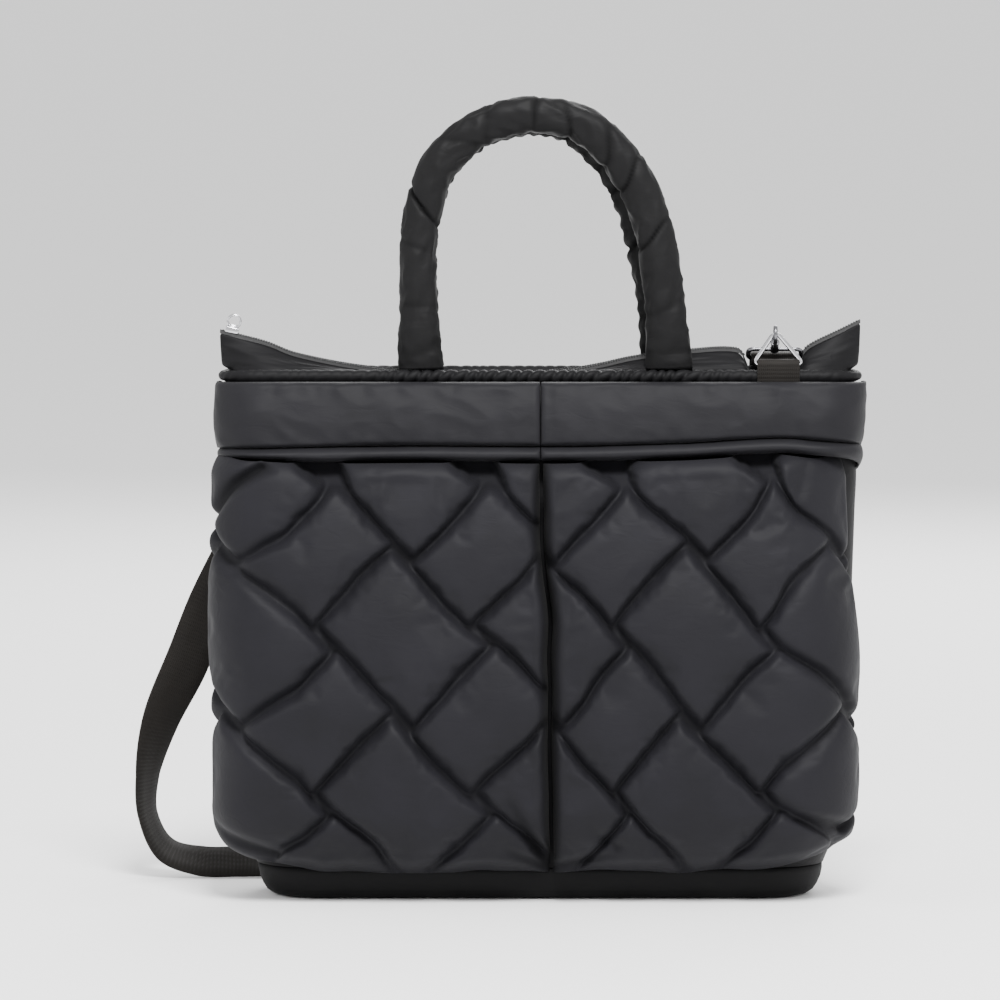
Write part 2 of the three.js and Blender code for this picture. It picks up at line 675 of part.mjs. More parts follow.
// Bent wire round a flat closed outline in the local XY plane
function wireLoop(outline, wire, sides) {
  const normal = new THREE.Vector3(0, 0, 1);
  const rings = outline.map((point, k) => {
    const before = outline[(k + outline.length - 1) % outline.length];
    const after = outline[(k + 1) % outline.length];
    const along = new THREE.Vector3(after.x - before.x, after.y - before.y, 0).normalize();
    const side = new THREE.Vector3().crossVectors(normal, along);
    return Array.from({ length: sides }, (unused, s) => {
      const angle = (2 * Math.PI * (s + 0.5)) / sides;
      const centre = new THREE.Vector3(point.x, point.y, 0);
      return centre.addScaledVector(side, wire * Math.cos(angle)).addScaledVector(normal, wire * Math.sin(angle));
    });
  });
  return skinRings(rings, true);
}

const rectangle = (x0, x1, y0, y1) => [
  new THREE.Vector2(x0, y0),
  new THREE.Vector2(x1, y0),
  new THREE.Vector2(x1, y1),
  new THREE.Vector2(x0, y1),
];

const ringOutline = roundedLoop([
  new THREE.Vector2(-RING.halfBase, 0),
  new THREE.Vector2(RING.halfBase, 0),
  new THREE.Vector2(RING.apexShift, RING.rise),
], RING.bend, 3);
const ringApex = ringOutline.reduce((best, point) => (point.y > best.y ? point : best));

// Local frames: local X, local Y and the place of the local origin
function frameAt(xWay, yWay, origin) {
  const zWay = new THREE.Vector3().crossVectors(xWay, yWay);
  return new THREE.Matrix4().makeBasis(xWay, yWay, zWay).setPosition(origin);
}

// Webbing tab folded over the ring's bar: local Z is the bar, local X the side of the long leg
function webbingTab() {
  const inner = RING.wire + TAB.room;
  const outer = inner + TAB.thick;
  const profile = new THREE.Shape();
  profile.moveTo(outer, -TAB.leg);
  profile.lineTo(outer, 0);
  profile.absarc(0, 0, outer, 0, Math.PI, false);
  profile.lineTo(-outer, -TAB.tail);
  profile.lineTo(-inner, -TAB.tail);
  profile.lineTo(-inner, 0);
  profile.absarc(0, 0, inner, Math.PI, 0, true);
  profile.lineTo(inner, -TAB.leg);
  const extrusion = { depth: TAB.width, bevelEnabled: false, curveSegments: TAB_FACETS };
  const tab = new THREE.ExtrudeGeometry(profile, extrusion);
  tab.translate(0, 0, -TAB.width / 2);
  return tab;
}

// Strap hook: local Y is the pull, local X the strap bar, the loop round the ring lies in local YZ
function strapHook() {
  const front = -(RING.wire + 2 * SEAT + HOOK.wire);
  const loop = roundedLoop(
    rectangle(front, HOOK.loopEnd, -HOOK.loopTall / 2, HOOK.loopTall / 2),
    HOOK.loopTall / 2 - HOOK.bendRoom,
    WIRE_FACETS.hookBend,
  );
  const link = wireLoop(loop, HOOK.wire, WIRE_FACETS.hook);
  link.applyMatrix4(frameAt(new THREE.Vector3(0, 1, 0), new THREE.Vector3(0, 0, 1), new THREE.Vector3()));
  const barrel = new THREE.CylinderGeometry(
    HOOK.barrelRadius, HOOK.barrelRadius, HOOK.barrelEnd - HOOK.barrelStart, BARREL_FACETS,
  );
  barrel.translate(0, (HOOK.barrelStart + HOOK.barrelEnd) / 2, 0);
  const bar = wireLoop(
    roundedLoop(rectangle(-HOOK.barHalf, HOOK.barHalf, HOOK.barStart, HOOK.barEnd), HOOK.bend, WIRE_FACETS.barBend),
    HOOK.barWire,
    WIRE_FACETS.bar,
  );
  return joinSolids([link, barrel, bar]);
}

// Where the two rings, tabs and hooks sit
const UP = new THREE.Vector3(0, 0, 1);
const RIGHT = new THREE.Vector3(1, 0, 0);
const TO_FRONT = new THREE.Vector3(0, -1, 0);
const TO_BACK = new THREE.Vector3(0, 1, 0);

function rightEnd() {
  const bar = new THREE.Vector3(RIGHT_TAB.x, RIGHT_TAB.y, RIGHT_TAB.z);
  const apex = bar.clone().addScaledVector(RIGHT, ringApex.x).addScaledVector(UP, ringApex.y);
  const pull = TO_BACK.clone().applyAxisAngle(RIGHT, -RIGHT_HOOK_DIP);
  return {
    tab: frameAt(TO_FRONT, UP, bar),
    ring: frameAt(RIGHT, UP, bar),
    hook: frameAt(RIGHT, pull, apex),
    strapBar: apex.clone().addScaledVector(pull, HOOK.barEnd),
    strapWay: TO_BACK,
    strapAcross: RIGHT,
  };
}

function leftEnd() {
  const high = -wallPoint(0, LEFT_SLOPE.high, 0).y;
  const low = -wallPoint(0, LEFT_SLOPE.low, 0).y;
  const slope = (low - high) / (LEFT_SLOPE.high - LEFT_SLOPE.low);
  const down = new THREE.Vector3(0, slope, -1).normalize();
  const out = new THREE.Vector3().crossVectors(RIGHT, down);
  const bar = new THREE.Vector3(LEFT_TAB.x, high + slope * (LEFT_SLOPE.high - LEFT_TAB.z), LEFT_TAB.z);
  bar.addScaledVector(out, LEFT_TAB.standOff);
  const pull = down.clone().applyAxisAngle(out, LEFT_HOOK_SWING);
  const across = RIGHT.clone().applyAxisAngle(out, LEFT_HOOK_SWING);
  const ringWay = pull.clone().applyAxisAngle(across, LEFT_RING_LIFT);
  const apex = bar.clone().addScaledVector(across, ringApex.x).addScaledVector(ringWay, ringApex.y);
  return {
    tab: frameAt(out.clone().negate(), pull, bar),
    ring: frameAt(across, ringWay, bar),
    hook: frameAt(across, pull, apex),
    strapBar: apex.clone().addScaledVector(pull, HOOK.barEnd),
    strapWay: pull,
    strapAcross: across,
  };
}

// Strap end folded round a hook's bar, from the tip of the tail to where the strap leaves the bar
function strapFold(end) {
  const out = new THREE.Vector3().crossVectors(end.strapAcross, end.strapWay);
  const reach = HOOK.barWire + SEAT + STRAP_THICK / 2;
  const tailStand = reach - STRAP_THICK - SEAT;
  const place = (way, stand) => {
    return end.strapBar.clone().addScaledVector(end.strapWay, way).addScaledVector(out, stand);
  };
  const points = [
    place(STRAP_TAIL, tailStand),
    place(STRAP_TAIL / 2, tailStand),
    place(STRAP_TURN_IN.way, -reach * STRAP_TURN_IN.share),
  ];
  for (let k = 0; k <= STRAP_TURN_FACETS; k += 1) {
    const angle = (Math.PI * k) / STRAP_TURN_FACETS;
    points.push(place(-reach * Math.sin(angle), -reach * Math.cos(angle)));
  }
  points.push(place(STRAP_TAIL / 2, reach), place(STRAP_TAIL, reach));
  return points.map((point) => ({ point, across: end.strapAcross }));
}

// Webbing strap from the left hook, down to the floor, behind the bag and up to the right hook
function shoulderStrap(left, right) {
  const rows = STRAP_ROUTE.map((row) => new THREE.Vector3(row.x, row.y, row.z));
  const main = STRAP_ROUTE.map((row, k) => {
    const along = rows[Math.min(k + 1, rows.length - 1)].clone().sub(rows[Math.max(k - 1, 0)]).normalize();
    const depthWay = TO_BACK.clone().addScaledVector(along, -TO_BACK.dot(along)).normalize();
    const faceWay = new THREE.Vector3().crossVectors(along, depthWay);
    const turn = THREE.MathUtils.degToRad(row.turn);
    const across = faceWay.multiplyScalar(Math.cos(turn)).addScaledVector(depthWay, Math.sin(turn));
    return { point: rows[k], across };
  });
  const arrival = strapFold(right).reverse();
  for (const row of arrival) row.across = row.across.clone().negate();
  const route = [...strapFold(left), ...main, ...arrival];
  const curve = new THREE.CatmullRomCurve3(route.map((row) => row.point), false, 'centripetal');
  const samples = 2 * (route.length - 1);
  const rings = [];
  for (let k = 0; k <= samples; k += 1) {
    const share = k / samples;
    const row = Math.min(Math.floor(share * (route.length - 1)), route.length - 2);
    const between = share * (route.length - 1) - row;
    const along = curve.getTangent(share);
    const across = route[row].across.clone().lerp(route[row + 1].across, between);
    across.addScaledVector(along, -across.dot(along)).normalize().multiplyScalar(STRAP_WIDTH / 2);
    const thick = new THREE.Vector3().crossVectors(along, across).setLength(STRAP_THICK / 2);
    const centre = curve.getPoint(share);
    rings.push([
      centre.clone().add(across).add(thick),
      centre.clone().sub(across).add(thick),
      centre.clone().sub(across).sub(thick),
      centre.clone().add(across).sub(thick),
    ]);
  }
  return skinRings(rings);
}

// Assembly
addPiece('body_front', bodyHalf(), FINISHES.bodyNylon);
addPiece('body_back', onBack(bodyHalf()), FINISHES.bodyNylon);
addPiece('base_tray', baseTray(), FINISHES.baseNylon);
addPiece('rim_binding_front', rimBinding(BINDING_FACETS.front, true), FINISHES.bodyNylon);
addPiece('rim_binding_back', onBack(rimBinding(BINDING_FACETS.back, false)), FINISHES.bodyNylon);
addPiece('top_gusset_front', topGusset(), FINISHES.bodyNylon);
addPiece('top_gusset_back', onBack(topGusset()), FINISHES.bodyNylon);
addPiece('zip_tape_front', zipTape(), FINISHES.zipTeeth);
addPiece('zip_tape_back', onBack(zipTape()), FINISHES.zipTeeth);
addPiece('handle_front', handleTube(false), FINISHES.handleNylon);
addPiece('handle_rear', handleTube(true), FINISHES.handleNylon);

for (const [label, side] of [['left', -1], ['right', 1]]) {
  const hemLow = (u) => bandEdge(u) - HEM_DROP;
  const hemHigh = (u) => bandEdge(u) - SEAT;
  addPiece(`pocket_${label}`, pocketFront(side), FINISHES.wovenNylon);
  addPiece(`pocket_band_${label}`, mouthStrip(side, bandEdge, bandTop, BAND_THICK, BAND_CROWN),
    FINISHES.bandNylon);
  addPiece(`pocket_hem_${label}`, mouthStrip(side, hemLow, hemHigh, HEM_THICK, HEM_CROWN), FINISHES.bandNylon);
}

const slider = addPiece('zip_slider', zipSlider(), FINISHES.steel);
const sliderHalf = SLIDER.length / 2;
const sliderSlope = (crestZ(SLIDER.x + sliderHalf) - crestZ(SLIDER.x - sliderHalf)) / SLIDER.length;
slider.rotation.y = -Math.atan(sliderSlope);
slider.position.set(SLIDER.x, 0, crestZ(SLIDER.x) + SLIDER.room + ZIP_TALL + SLIDER.tall / 2);

const ends = { left: leftEnd(), right: rightEnd() };
for (const [label, end] of Object.entries(ends)) {
  addPiece(`ring_tab_${label}`, webbingTab().applyMatrix4(end.tab), FINISHES.webbing);
  const ring = wireLoop(ringOutline, RING.wire, WIRE_FACETS.ring);
  addPiece(`strap_ring_${label}`, ring.applyMatrix4(end.ring), FINISHES.steel);
  addPiece(`strap_hook_${label}`, strapHook().applyMatrix4(end.hook), FINISHES.darkSteel);
}
addPiece('shoulder_strap', shoulderStrap(ends.left, ends.right), FINISHES.webbing);

export default bag;
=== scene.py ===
# %% [markdown]
# # A padded tote bag with woven pockets
# The real bag is sewn from dark nylon over soft filling: a sagging shell on a plain base, two
# pockets of puffed strips woven over and under each other, smooth bands over their mouths, tube
# handles and a strap. An imported CAD model gives every piece its place. This lesson dresses that
# model, so it is loaded first. No dressed piece may stand far outside it.

import math

import bpy
import numpy as np
from mathutils import Matrix, Vector, noise


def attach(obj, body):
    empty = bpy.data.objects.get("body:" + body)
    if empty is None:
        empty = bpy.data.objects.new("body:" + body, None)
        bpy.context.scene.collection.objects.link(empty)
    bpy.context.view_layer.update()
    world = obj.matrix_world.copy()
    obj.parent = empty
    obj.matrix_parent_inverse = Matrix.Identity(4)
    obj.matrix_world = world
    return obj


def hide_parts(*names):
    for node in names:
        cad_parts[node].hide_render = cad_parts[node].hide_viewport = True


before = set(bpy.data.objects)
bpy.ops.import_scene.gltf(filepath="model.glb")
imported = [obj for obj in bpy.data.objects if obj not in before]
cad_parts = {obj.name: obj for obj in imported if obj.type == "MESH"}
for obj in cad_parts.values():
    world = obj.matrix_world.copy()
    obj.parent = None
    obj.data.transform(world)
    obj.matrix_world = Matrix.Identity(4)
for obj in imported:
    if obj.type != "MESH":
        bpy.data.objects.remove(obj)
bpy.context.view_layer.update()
bpy.ops.object.select_all(action="DESELECT")
MM = 0.001

# %% [markdown]
# ## Camera
# The bag was photographed straight from the front, from a little above its middle and from far
# away. A long lens gives that flat look: the further the camera stands, the less the near pockets
# grow against the handles. The frame is square, so its width alone sets the focal length.

# %% Camera in front of the bag
VIEW_WIDTH = 0.667
VIEW_DISTANCE = 4.5
VIEW_HEIGHT_ANGLE = math.radians(4.5)
VIEW_AIM = Vector((-0.0267, 0.0, 0.2625))

toward_camera = Vector((0, -math.cos(VIEW_HEIGHT_ANGLE), math.sin(VIEW_HEIGHT_ANGLE)))
bpy.ops.object.camera_add(location=VIEW_AIM + toward_camera * VIEW_DISTANCE)
camera = bpy.context.object
camera.rotation_euler = (math.pi / 2 - VIEW_HEIGHT_ANGLE, 0, 0)
camera.data.sensor_width = 36
camera.data.lens = camera.data.sensor_width * VIEW_DISTANCE / VIEW_WIDTH
bpy.context.scene.camera = camera
print("Lens", round(camera.data.lens), "mm at", VIEW_DISTANCE, "m")

# %% [markdown]
# ## Studio
# The bag stands on a plain pale floor in soft light. One wide lamp stands in front, well above the
# camera, so that the puffed pads are lighter above than below, and weaker ones light the sides and
# the back. A bright even sky around everything is what makes the background pale.

# %% Floor, sky and lamps
FLOOR_HALF = 200.0
SKY_LIGHT = 1.25

bpy.ops.mesh.primitive_plane_add(size=2 * FLOOR_HALF)
floor = bpy.context.object
floor.name = "studio_floor"
floor_paint = bpy.data.materials.new("pale_floor")
floor_paint.use_nodes = True
floor_shader = floor_paint.node_tree.nodes["Principled BSDF"]
floor_shader.inputs["Base Color"].default_value = (0.96, 0.96, 0.96, 1)
floor_shader.inputs["Roughness"].default_value = 0.9
floor_shader.inputs["Specular IOR Level"].default_value = 0.1
floor.data.materials.append(floor_paint)

sky = bpy.data.worlds.new("even_sky")
sky.use_nodes = True
sky.node_tree.nodes["Background"].inputs["Color"].default_value = (1, 1, 1, 1)
sky.node_tree.nodes["Background"].inputs["Strength"].default_value = SKY_LIGHT
bpy.context.scene.world = sky


def studio_lamp(name, place, size, watts):
    """A wide soft lamp that points at the middle of the bag."""
    bpy.ops.object.light_add(type="AREA", location=place)
    lamp = bpy.context.object
    lamp.name = name
    lamp.data.size = size
    lamp.data.energy = watts
    lamp.rotation_euler = (VIEW_AIM - Vector(place)).to_track_quat("-Z", "Y").to_euler()


LAMPS = [
    # name, place in metres, size, watts
    ("front_lamp", (0.25, -1.65, 2.35), 0.9, 160),
    ("left_lamp", (-2.4, -0.6, 1.2), 1.2, 16),
    ("right_lamp", (2.4, -0.6, 1.0), 1.2, 12),
    ("back_lamp", (0.5, 2.5, 1.8), 1.6, 70),
]
for lamp_values in LAMPS:
    studio_lamp(*lamp_values)

# %% [markdown]
# ## The bag's own shape
# Nearly every piece hugs the body, and the body is a rounded rectangle at each height, wide low
# down and flat at the rim. One short table holds that outline in millimetres. A point is then found
# by its way along the wall from the middle of the front, its height, and how far it stands off the
# wall. All pieces use this one function, so they fit each other without any pushing about.

# %% Outline of the body
BODY_OUTLINE = [
    # height, half width, half depth, corner radius
    (0, 182, 45, 34),
    (12, 186, 49, 37),
    (22, 189, 51, 38),
    (50, 199, 57, 42),
    (110, 203, 60, 44),
    (190, 203, 55, 42),
    (260, 205, 44, 36),
    (300, 208, 37, 31),
    (341, 212, 27, 24),
]
BASE_TOP = 22
WALL_TOP = 341
WALL = 5


def along_table(rows, column, place):
    """A column of a table as a smooth curve that never overshoots its rows."""
    keys = np.array([row[0] for row in rows], float)
    values = np.array([row[column] for row in rows], float)
    slopes = np.diff(values) / np.diff(keys)
    tangents = np.concatenate([slopes[:1], np.zeros(len(rows) - 2), slopes[-1:]])
    product = slopes[:-1] * slopes[1:]
    same_way = product > 0
    tangents[1:-1][same_way] = (2 * product / (slopes[:-1] + slopes[1:] + 1e-12))[same_way]
    at = np.clip(np.asarray(place, float), keys[0], keys[-1])
    k = np.clip(np.searchsorted(keys, at) - 1, 0, len(rows) - 2)
    span = keys[k + 1] - keys[k]
    t = (at - keys[k]) / span
    blend = t * t * (3 - 2 * t)
    bend = t * (1 - t) * span * ((1 - t) * tangents[k] - t * tangents[k + 1])
    return values[k] * (1 - blend) + values[k + 1] * blend + bend


def wall_length(z):
    """Way along the wall from the middle of the front to the side seam."""
    half_width, half_depth, corner = (along_table(BODY_OUTLINE, c, z) for c in (1, 2, 3))
    return half_width + half_depth - 2 * corner + corner * math.pi / 2


def wall_point(u, z, offset):
    """Points on the front half of the body, offset outwards, in millimetres."""
    u, z, offset = np.broadcast_arrays(np.asarray(u, float), z, offset)
    half_width, half_depth, corner = (along_table(BODY_OUTLINE, c, z) for c in (1, 2, 3))
    flat = half_width - corner
    arc = corner * math.pi / 2
    way = np.abs(u)
    turn = np.clip((way - flat) / corner, 0, math.pi / 2)
    on_side = np.maximum(way - flat - arc, 0)
    x = np.minimum(way, flat) + (corner + offset) * np.sin(turn)
    y = -(half_depth - corner) - (corner + offset) * np.cos(turn) + on_side
    return np.stack([np.where(u < 0, -x, x), y, z], axis=-1)


def round_rise(distance, length):
    """Steep climb from 0 to 1 over this length that rounds off, like the edge of a cushion."""
    return np.sqrt(1 - (1 - np.clip(distance / length, 0, 1)) ** 2)


def rise(distance, length):
    """0 up to the start, 1 after the length, with a soft step between."""
    t = np.clip(np.asarray(distance, float) / length, 0, 1)
    return t * t * (3 - 2 * t)


def ramp(place, span):
    """The same soft step over a span, which is its start and its length."""
    return rise(place - span[0], span[1])


print("Wall from the middle to the side seam:", round(float(wall_length(200))), "mm half way up")

# %% [markdown]
# ## Nylon, webbing and metal
# The cloth is a dark nylon with a faint blue cast. Close up it shows a fine thread grid, soft
# blotches where the light catches the filling behind it, and a dull sheen. A photograph of cloth
# could be wrapped round the pieces, but threads made by wave textures keep their scale on every
# piece and need no picture. The threads follow the place of the piece in space, so no unwrapping is
# needed. Each finish gets its own colour from the real bag, and the handles' colour is darkened
# further as painted shade.

# %% Finish for the padded nylon
THREAD_WAVE = 420
BLOTCH_SCALE = 22
CREASE_SCALE = 130
CREASE_TURN = math.radians(20)
RAMP_ENDS = (0.3, 0.75)
GLOSS_VARIES = 0.06


def link(tree, source, socket, node, name):
    """Joins a node's output to another node's input."""
    tree.links.new(source.outputs[socket], node.inputs[name])


def add_node(tree, kind, **values):
    """A new node with these values on its sockets, whose names have underscores for spaces here."""
    node = tree.nodes.new("ShaderNode" + kind)
    for socket, value in values.items():
        node.inputs[socket.replace("_", " ")].default_value = value
    return node


def new_finish(name, **values):
    """A new finish with these values on its shader, its node tree, and the node that gives places."""
    finish = bpy.data.materials.new(name)
    finish.use_nodes = True
    tree = finish.node_tree
    shader = tree.nodes["Principled BSDF"]
    for socket, value in values.items():
        shader.inputs[socket.replace("_", " ")].default_value = value
    return finish, tree, shader, add_node(tree, "TexCoord")


def tone_and_gloss(tree, pattern, shader, ends, dark, light, smooth, rough):
    """A pattern leads the colour from dark to light and the roughness from smooth to rough."""
    tones = add_node(tree, "ValToRGB")
    for stop, end, tone in zip(tones.color_ramp.elements, ends, (dark, light)):
        stop.position = end
        stop.color = (*tone, 1)
    link(tree, pattern, "Fac", tones, "Fac")
    link(tree, tones, "Color", shader, "Base Color")
    gloss = add_node(tree, "MapRange", To_Min=smooth, To_Max=rough)
    link(tree, pattern, "Fac", gloss, "Value")
    link(tree, gloss, "Result", shader, "Roughness")


def thread_grid(tree, place, socket, first, second, distortion):
    """Two waves of threads that cross; first and second are each a way and a scale."""
    grid = add_node(tree, "Math")
    grid.operation = "MULTIPLY"
    for k, (way, scale) in enumerate((first, second)):
        wave = add_node(tree, "TexWave", Scale=scale, Distortion=distortion[k])
        wave.bands_direction = way
        link(tree, place, socket, wave, "Vector")
        link(tree, wave, "Fac", grid, k)
    return grid


def padded_nylon(name, dark, light, roughness, creases):
    """Nylon over filling: blotches, a thread grid and fine creases, from the piece's own place."""
    finish, tree, shader, place = new_finish(
        name, Specular_IOR_Level=0.11, Sheen_Weight=0.012, Sheen_Roughness=0.45)
    blotch = add_node(tree, "TexNoise", Scale=BLOTCH_SCALE, Detail=5)
    link(tree, place, "Object", blotch, "Vector")
    tone_and_gloss(tree, blotch, shader, RAMP_ENDS, dark, light,
                   roughness - GLOSS_VARIES, roughness + GLOSS_VARIES)
    grid = thread_grid(tree, place, "Object", ("X", THREAD_WAVE), ("Z", THREAD_WAVE), (0.6, 0.6))
    thread_bump = add_node(tree, "Bump", Strength=0.12, Distance=0.0002)
    link(tree, grid, "Value", thread_bump, "Height")
    stretch = add_node(tree, "Mapping", Rotation=(0, CREASE_TURN, 0), Scale=(0.45, 1, 1))
    link(tree, place, "Object", stretch, "Vector")
    crease = add_node(tree, "TexNoise", Scale=CREASE_SCALE, Detail=3, Distortion=1.2)
    link(tree, stretch, "Vector", crease, "Vector")
    crease_bump = add_node(tree, "Bump", Strength=creases, Distance=0.0012)
    link(tree, crease, "Fac", crease_bump, "Height")
    link(tree, thread_bump, "Normal", crease_bump, "Normal")
    link(tree, crease_bump, "Normal", shader, "Normal")
    return finish


NYLONS = {
    # slot: dark tone, light tone, roughness, strength of the creases
    "woven_nylon": ((0.0064, 0.0062, 0.0078), (0.0088, 0.0085, 0.0108), 0.60, 0.24),
    "band_nylon": ((0.0072, 0.0070, 0.0084), (0.0098, 0.0095, 0.0113), 0.60, 0.20),
    "body_nylon": ((0.0036, 0.0035, 0.0040), (0.0054, 0.0052, 0.0059), 0.60, 0.28),
    # the handles' tones are their own dark nylon, lowered further as painted shade for the shade that
    # lies on the handles
    "handle_nylon": ((0.0038, 0.0037, 0.0040), (0.0056, 0.0055, 0.0058), 0.58, 0.30),
    "base_nylon": ((0.0026, 0.0025, 0.0027), (0.0038, 0.0037, 0.0040), 0.66, 0.20),
}
FINISHES = {slot: padded_nylon(slot, *values) for slot, values in NYLONS.items()}
print("Nylon finishes:", sorted(FINISHES))

# %% [markdown]
# Between the pads of the woven pockets and in the creases of the handles the cloth lies in deep
# folds that let little light out. The points of these pieces will carry a number, the valley shade,
# that is 1 down there and 0 on the open cloth. It paints that shade into the finish as a darker
# colour and dulls its gloss, which saves modelling every narrow fold.

# %% Painted shade in the valleys
VALLEY_ROUGHER = 0.35
# the colour that the painted shade reaches at the bottom of the deepest folds
VALLEY_SHADE_BLACK = (0.0006, 0.0006, 0.0007, 1)
# a Mix node's sockets share their names, so those for colours are picked by number
MIX_A = 6
MIX_B = 7
MIX_RESULT = 2


def paint_valley_shade(finish):
    """Paints shade into the valleys: mixes the colour towards black, and makes the cloth rougher, by the
    points' valley shade.
    """
    tree = finish.node_tree
    shader = tree.nodes["Principled BSDF"]
    tones = shader.inputs["Base Color"].links[0].from_node
    gloss = shader.inputs["Roughness"].links[0].from_node
    valley_shade = add_node(tree, "Attribute")
    valley_shade.attribute_name = "valley_shade"
    # this Mix node paints the shade of the valleys into the colour
    deep = add_node(tree, "Mix")
    deep.data_type = "RGBA"
    deep.inputs[MIX_B].default_value = VALLEY_SHADE_BLACK
    link(tree, valley_shade, "Fac", deep, "Factor")
    link(tree, tones, "Color", deep, MIX_A)
    link(tree, deep, MIX_RESULT, shader, "Base Color")
    dull = add_node(tree, "Math")
    dull.operation = "MULTIPLY_ADD"
    dull.inputs[1].default_value = VALLEY_ROUGHER
    link(tree, valley_shade, "Fac", dull, 0)
    link(tree, gloss, "Result", dull, 2)
    link(tree, dull, "Value", shader, "Roughness")


for slot in ("woven_nylon", "handle_nylon"):
    paint_valley_shade(FINISHES[slot])
    print("The valleys of", slot, "are darkened")

# %% [markdown]
# The webbing of the strap and tabs is ribbed: thick cross ribs with fine lengthwise threads. Its
# pattern must follow the strap round its bends, so it reads the strap's own UV map, where one unit
# is one metre of webbing.

# %% Finish for the webbing
RIB_WAVE = 120
# a wave texture at scale 1 turns through this many radians in a metre
WAVE_RADIANS = 20


def ribbed_webbing(name, dark, light):
    """Dark webbing with ribs that follow the UV map, in metres."""
    finish, tree, shader, place = new_finish(name, Specular_IOR_Level=0.12, Sheen_Weight=0.03)
    weave = thread_grid(tree, place, "UV", ("X", RIB_WAVE), ("Y", 2 * RIB_WAVE), (0.3, 0))
    wear = add_node(tree, "TexNoise", Scale=45, Detail=6)
    link(tree, place, "Object", wear, "Vector")
    tone_and_gloss(tree, wear, shader, RAMP_ENDS, dark, light, 0.62, 0.8)
    bump = add_node(tree, "Bump", Strength=0.5, Distance=0.0005)
    link(tree, weave, "Value", bump, "Height")
    link(tree, bump, "Normal", shader, "Normal")
    return finish


FINISHES["webbing"] = ribbed_webbing("webbing", (0.0085, 0.0074, 0.0064), (0.0125, 0.0108, 0.0094))
print("Webbing rib pitch:", round(math.tau / (WAVE_RADIANS * RIB_WAVE) * 1000, 2), "mm")

# %% [markdown]
# The rings and the zip pull are polished steel, the hooks are a duller grey, and the zip's coil is
# dark plastic with a slight gloss. Polished metal is never evenly smooth, so a fine noise roughens
# it a little.

# %% Finishes for the metal and the zip
SMUDGE_TONE = 0.8


def worn_metal(name, tone, smooth, rough, metallic):
    """Metal or plastic whose gloss wanders a little over the surface."""
    finish, tree, shader, place = new_finish(name, Metallic=metallic)
    smudge = add_node(tree, "TexNoise", Scale=260, Detail=4)
    link(tree, place, "Object", smudge, "Vector")
    dark = [SMUDGE_TONE * c for c in tone]
    tone_and_gloss(tree, smudge, shader, (0, 1), dark, tone, smooth, rough)
    return finish


METALS = {
    # slot: tone, smoothest and roughest, metallic
    "bright_steel": ((0.6, 0.6, 0.62), 0.1, 0.24, 1),
    "dark_steel": ((0.17, 0.17, 0.18), 0.22, 0.4, 1),
    "zip_teeth": ((0.0075, 0.0075, 0.008), 0.55, 0.75, 0),
}
FINISHES.update({slot: worn_metal(slot, *values) for slot, values in METALS.items()})
print("Finishes:", sorted(FINISHES))

# %% [markdown]
# ## Tools for sewing
# Each soft piece starts as a flat grid of quads, like a cut of cloth, whose points are then moved
# to where the piece lies on the bag. Blender's cloth simulation blows the cloth up between the
# points where it is sewn down, as the filling does, and the result is kept in the mesh. Last, the
# cloth is subdivided and gets a thickness.

# %% Cut, puff and finish a cloth
SWELL_FRAMES = 20
# thickness of the cloth of pockets, bands and hems
CLOTH_THICK = 2.0


def points_of(piece):
    """The piece's vertices as an array, in metres."""
    flat = np.empty(3 * len(piece.data.vertices), np.float32)
    piece.data.vertices.foreach_get("co", flat)
    return flat.reshape(-1, 3).astype(float)


def move_points(piece, points):
    """Puts the piece's vertices at these places, in metres."""
    piece.data.vertices.foreach_set("co", np.asarray(points, np.float32).ravel())
    piece.data.update()


def flat_cloth(name, columns, rows):
    """A flat grid of quads from 0 to 1 both ways."""
    bpy.ops.object.select_all(action="DESELECT")
    bpy.ops.mesh.primitive_grid_add(x_subdivisions=columns, y_subdivisions=rows, size=1)
    cloth = bpy.context.object
    cloth.name = name
    cloth.data.name = name
    move_points(cloth, points_of(cloth) + (0.5, 0.5, 0))
    return cloth


def shaped_cloth(name, columns, rows, shape):
    """A cloth whose points lie where shape(s, t) puts them, in millimetres."""
    cloth = flat_cloth(name, columns, rows)
    flat = points_of(cloth)
    move_points(cloth, shape(flat[:, 0], flat[:, 1]) * MM)
    return cloth


def only(piece):
    """Makes the piece the one that operators act on."""
    bpy.ops.object.select_all(action="DESELECT")
    piece.select_set(True)
    bpy.context.view_layer.objects.active = piece


def open_mesh():
    """Opens the active piece for editing, with all of it selected."""
    bpy.ops.object.mode_set(mode="EDIT")
    bpy.ops.mesh.select_all(action="SELECT")


def puff(cloth, sewn, pressure, spare, stiffness, cap):
    """Blows the cloth up between its sewn points; spare is extra cloth, cap the most it moves in mm."""
    start = points_of(cloth)
    only(cloth)
    seam = cloth.vertex_groups.new(name="sewn")
    seam.add([int(k) for k in np.flatnonzero(sewn)], 1.0, "REPLACE")
    swell = cloth.modifiers.new("Swell", "CLOTH")
    swell.settings.quality = 5
    swell.settings.mass = 0.2
    swell.settings.bending_stiffness = stiffness
    swell.settings.use_pressure = True
    swell.settings.uniform_pressure_force = pressure
    swell.settings.shrink_min = -spare
    swell.settings.vertex_group_mass = seam.name
    swell.settings.effector_weights.gravity = 0
    swell.point_cache.frame_start = 1
    swell.point_cache.frame_end = SWELL_FRAMES
    for frame_number in range(1, SWELL_FRAMES + 1):
        bpy.context.scene.frame_set(frame_number)
    bpy.ops.object.modifier_apply(modifier=swell.name)
    bpy.context.scene.frame_set(1)
    move = points_of(cloth) - start
    length = np.linalg.norm(move, axis=1, keepdims=True)
    move_points(cloth, start + move * np.minimum(1, cap * MM / np.maximum(length, 1e-9)))
    cloth.vertex_groups.clear()
    print(cloth.name, "swelled by up to", round(float(length.max()) * 1000, 1), "mm, held to", cap, "mm")


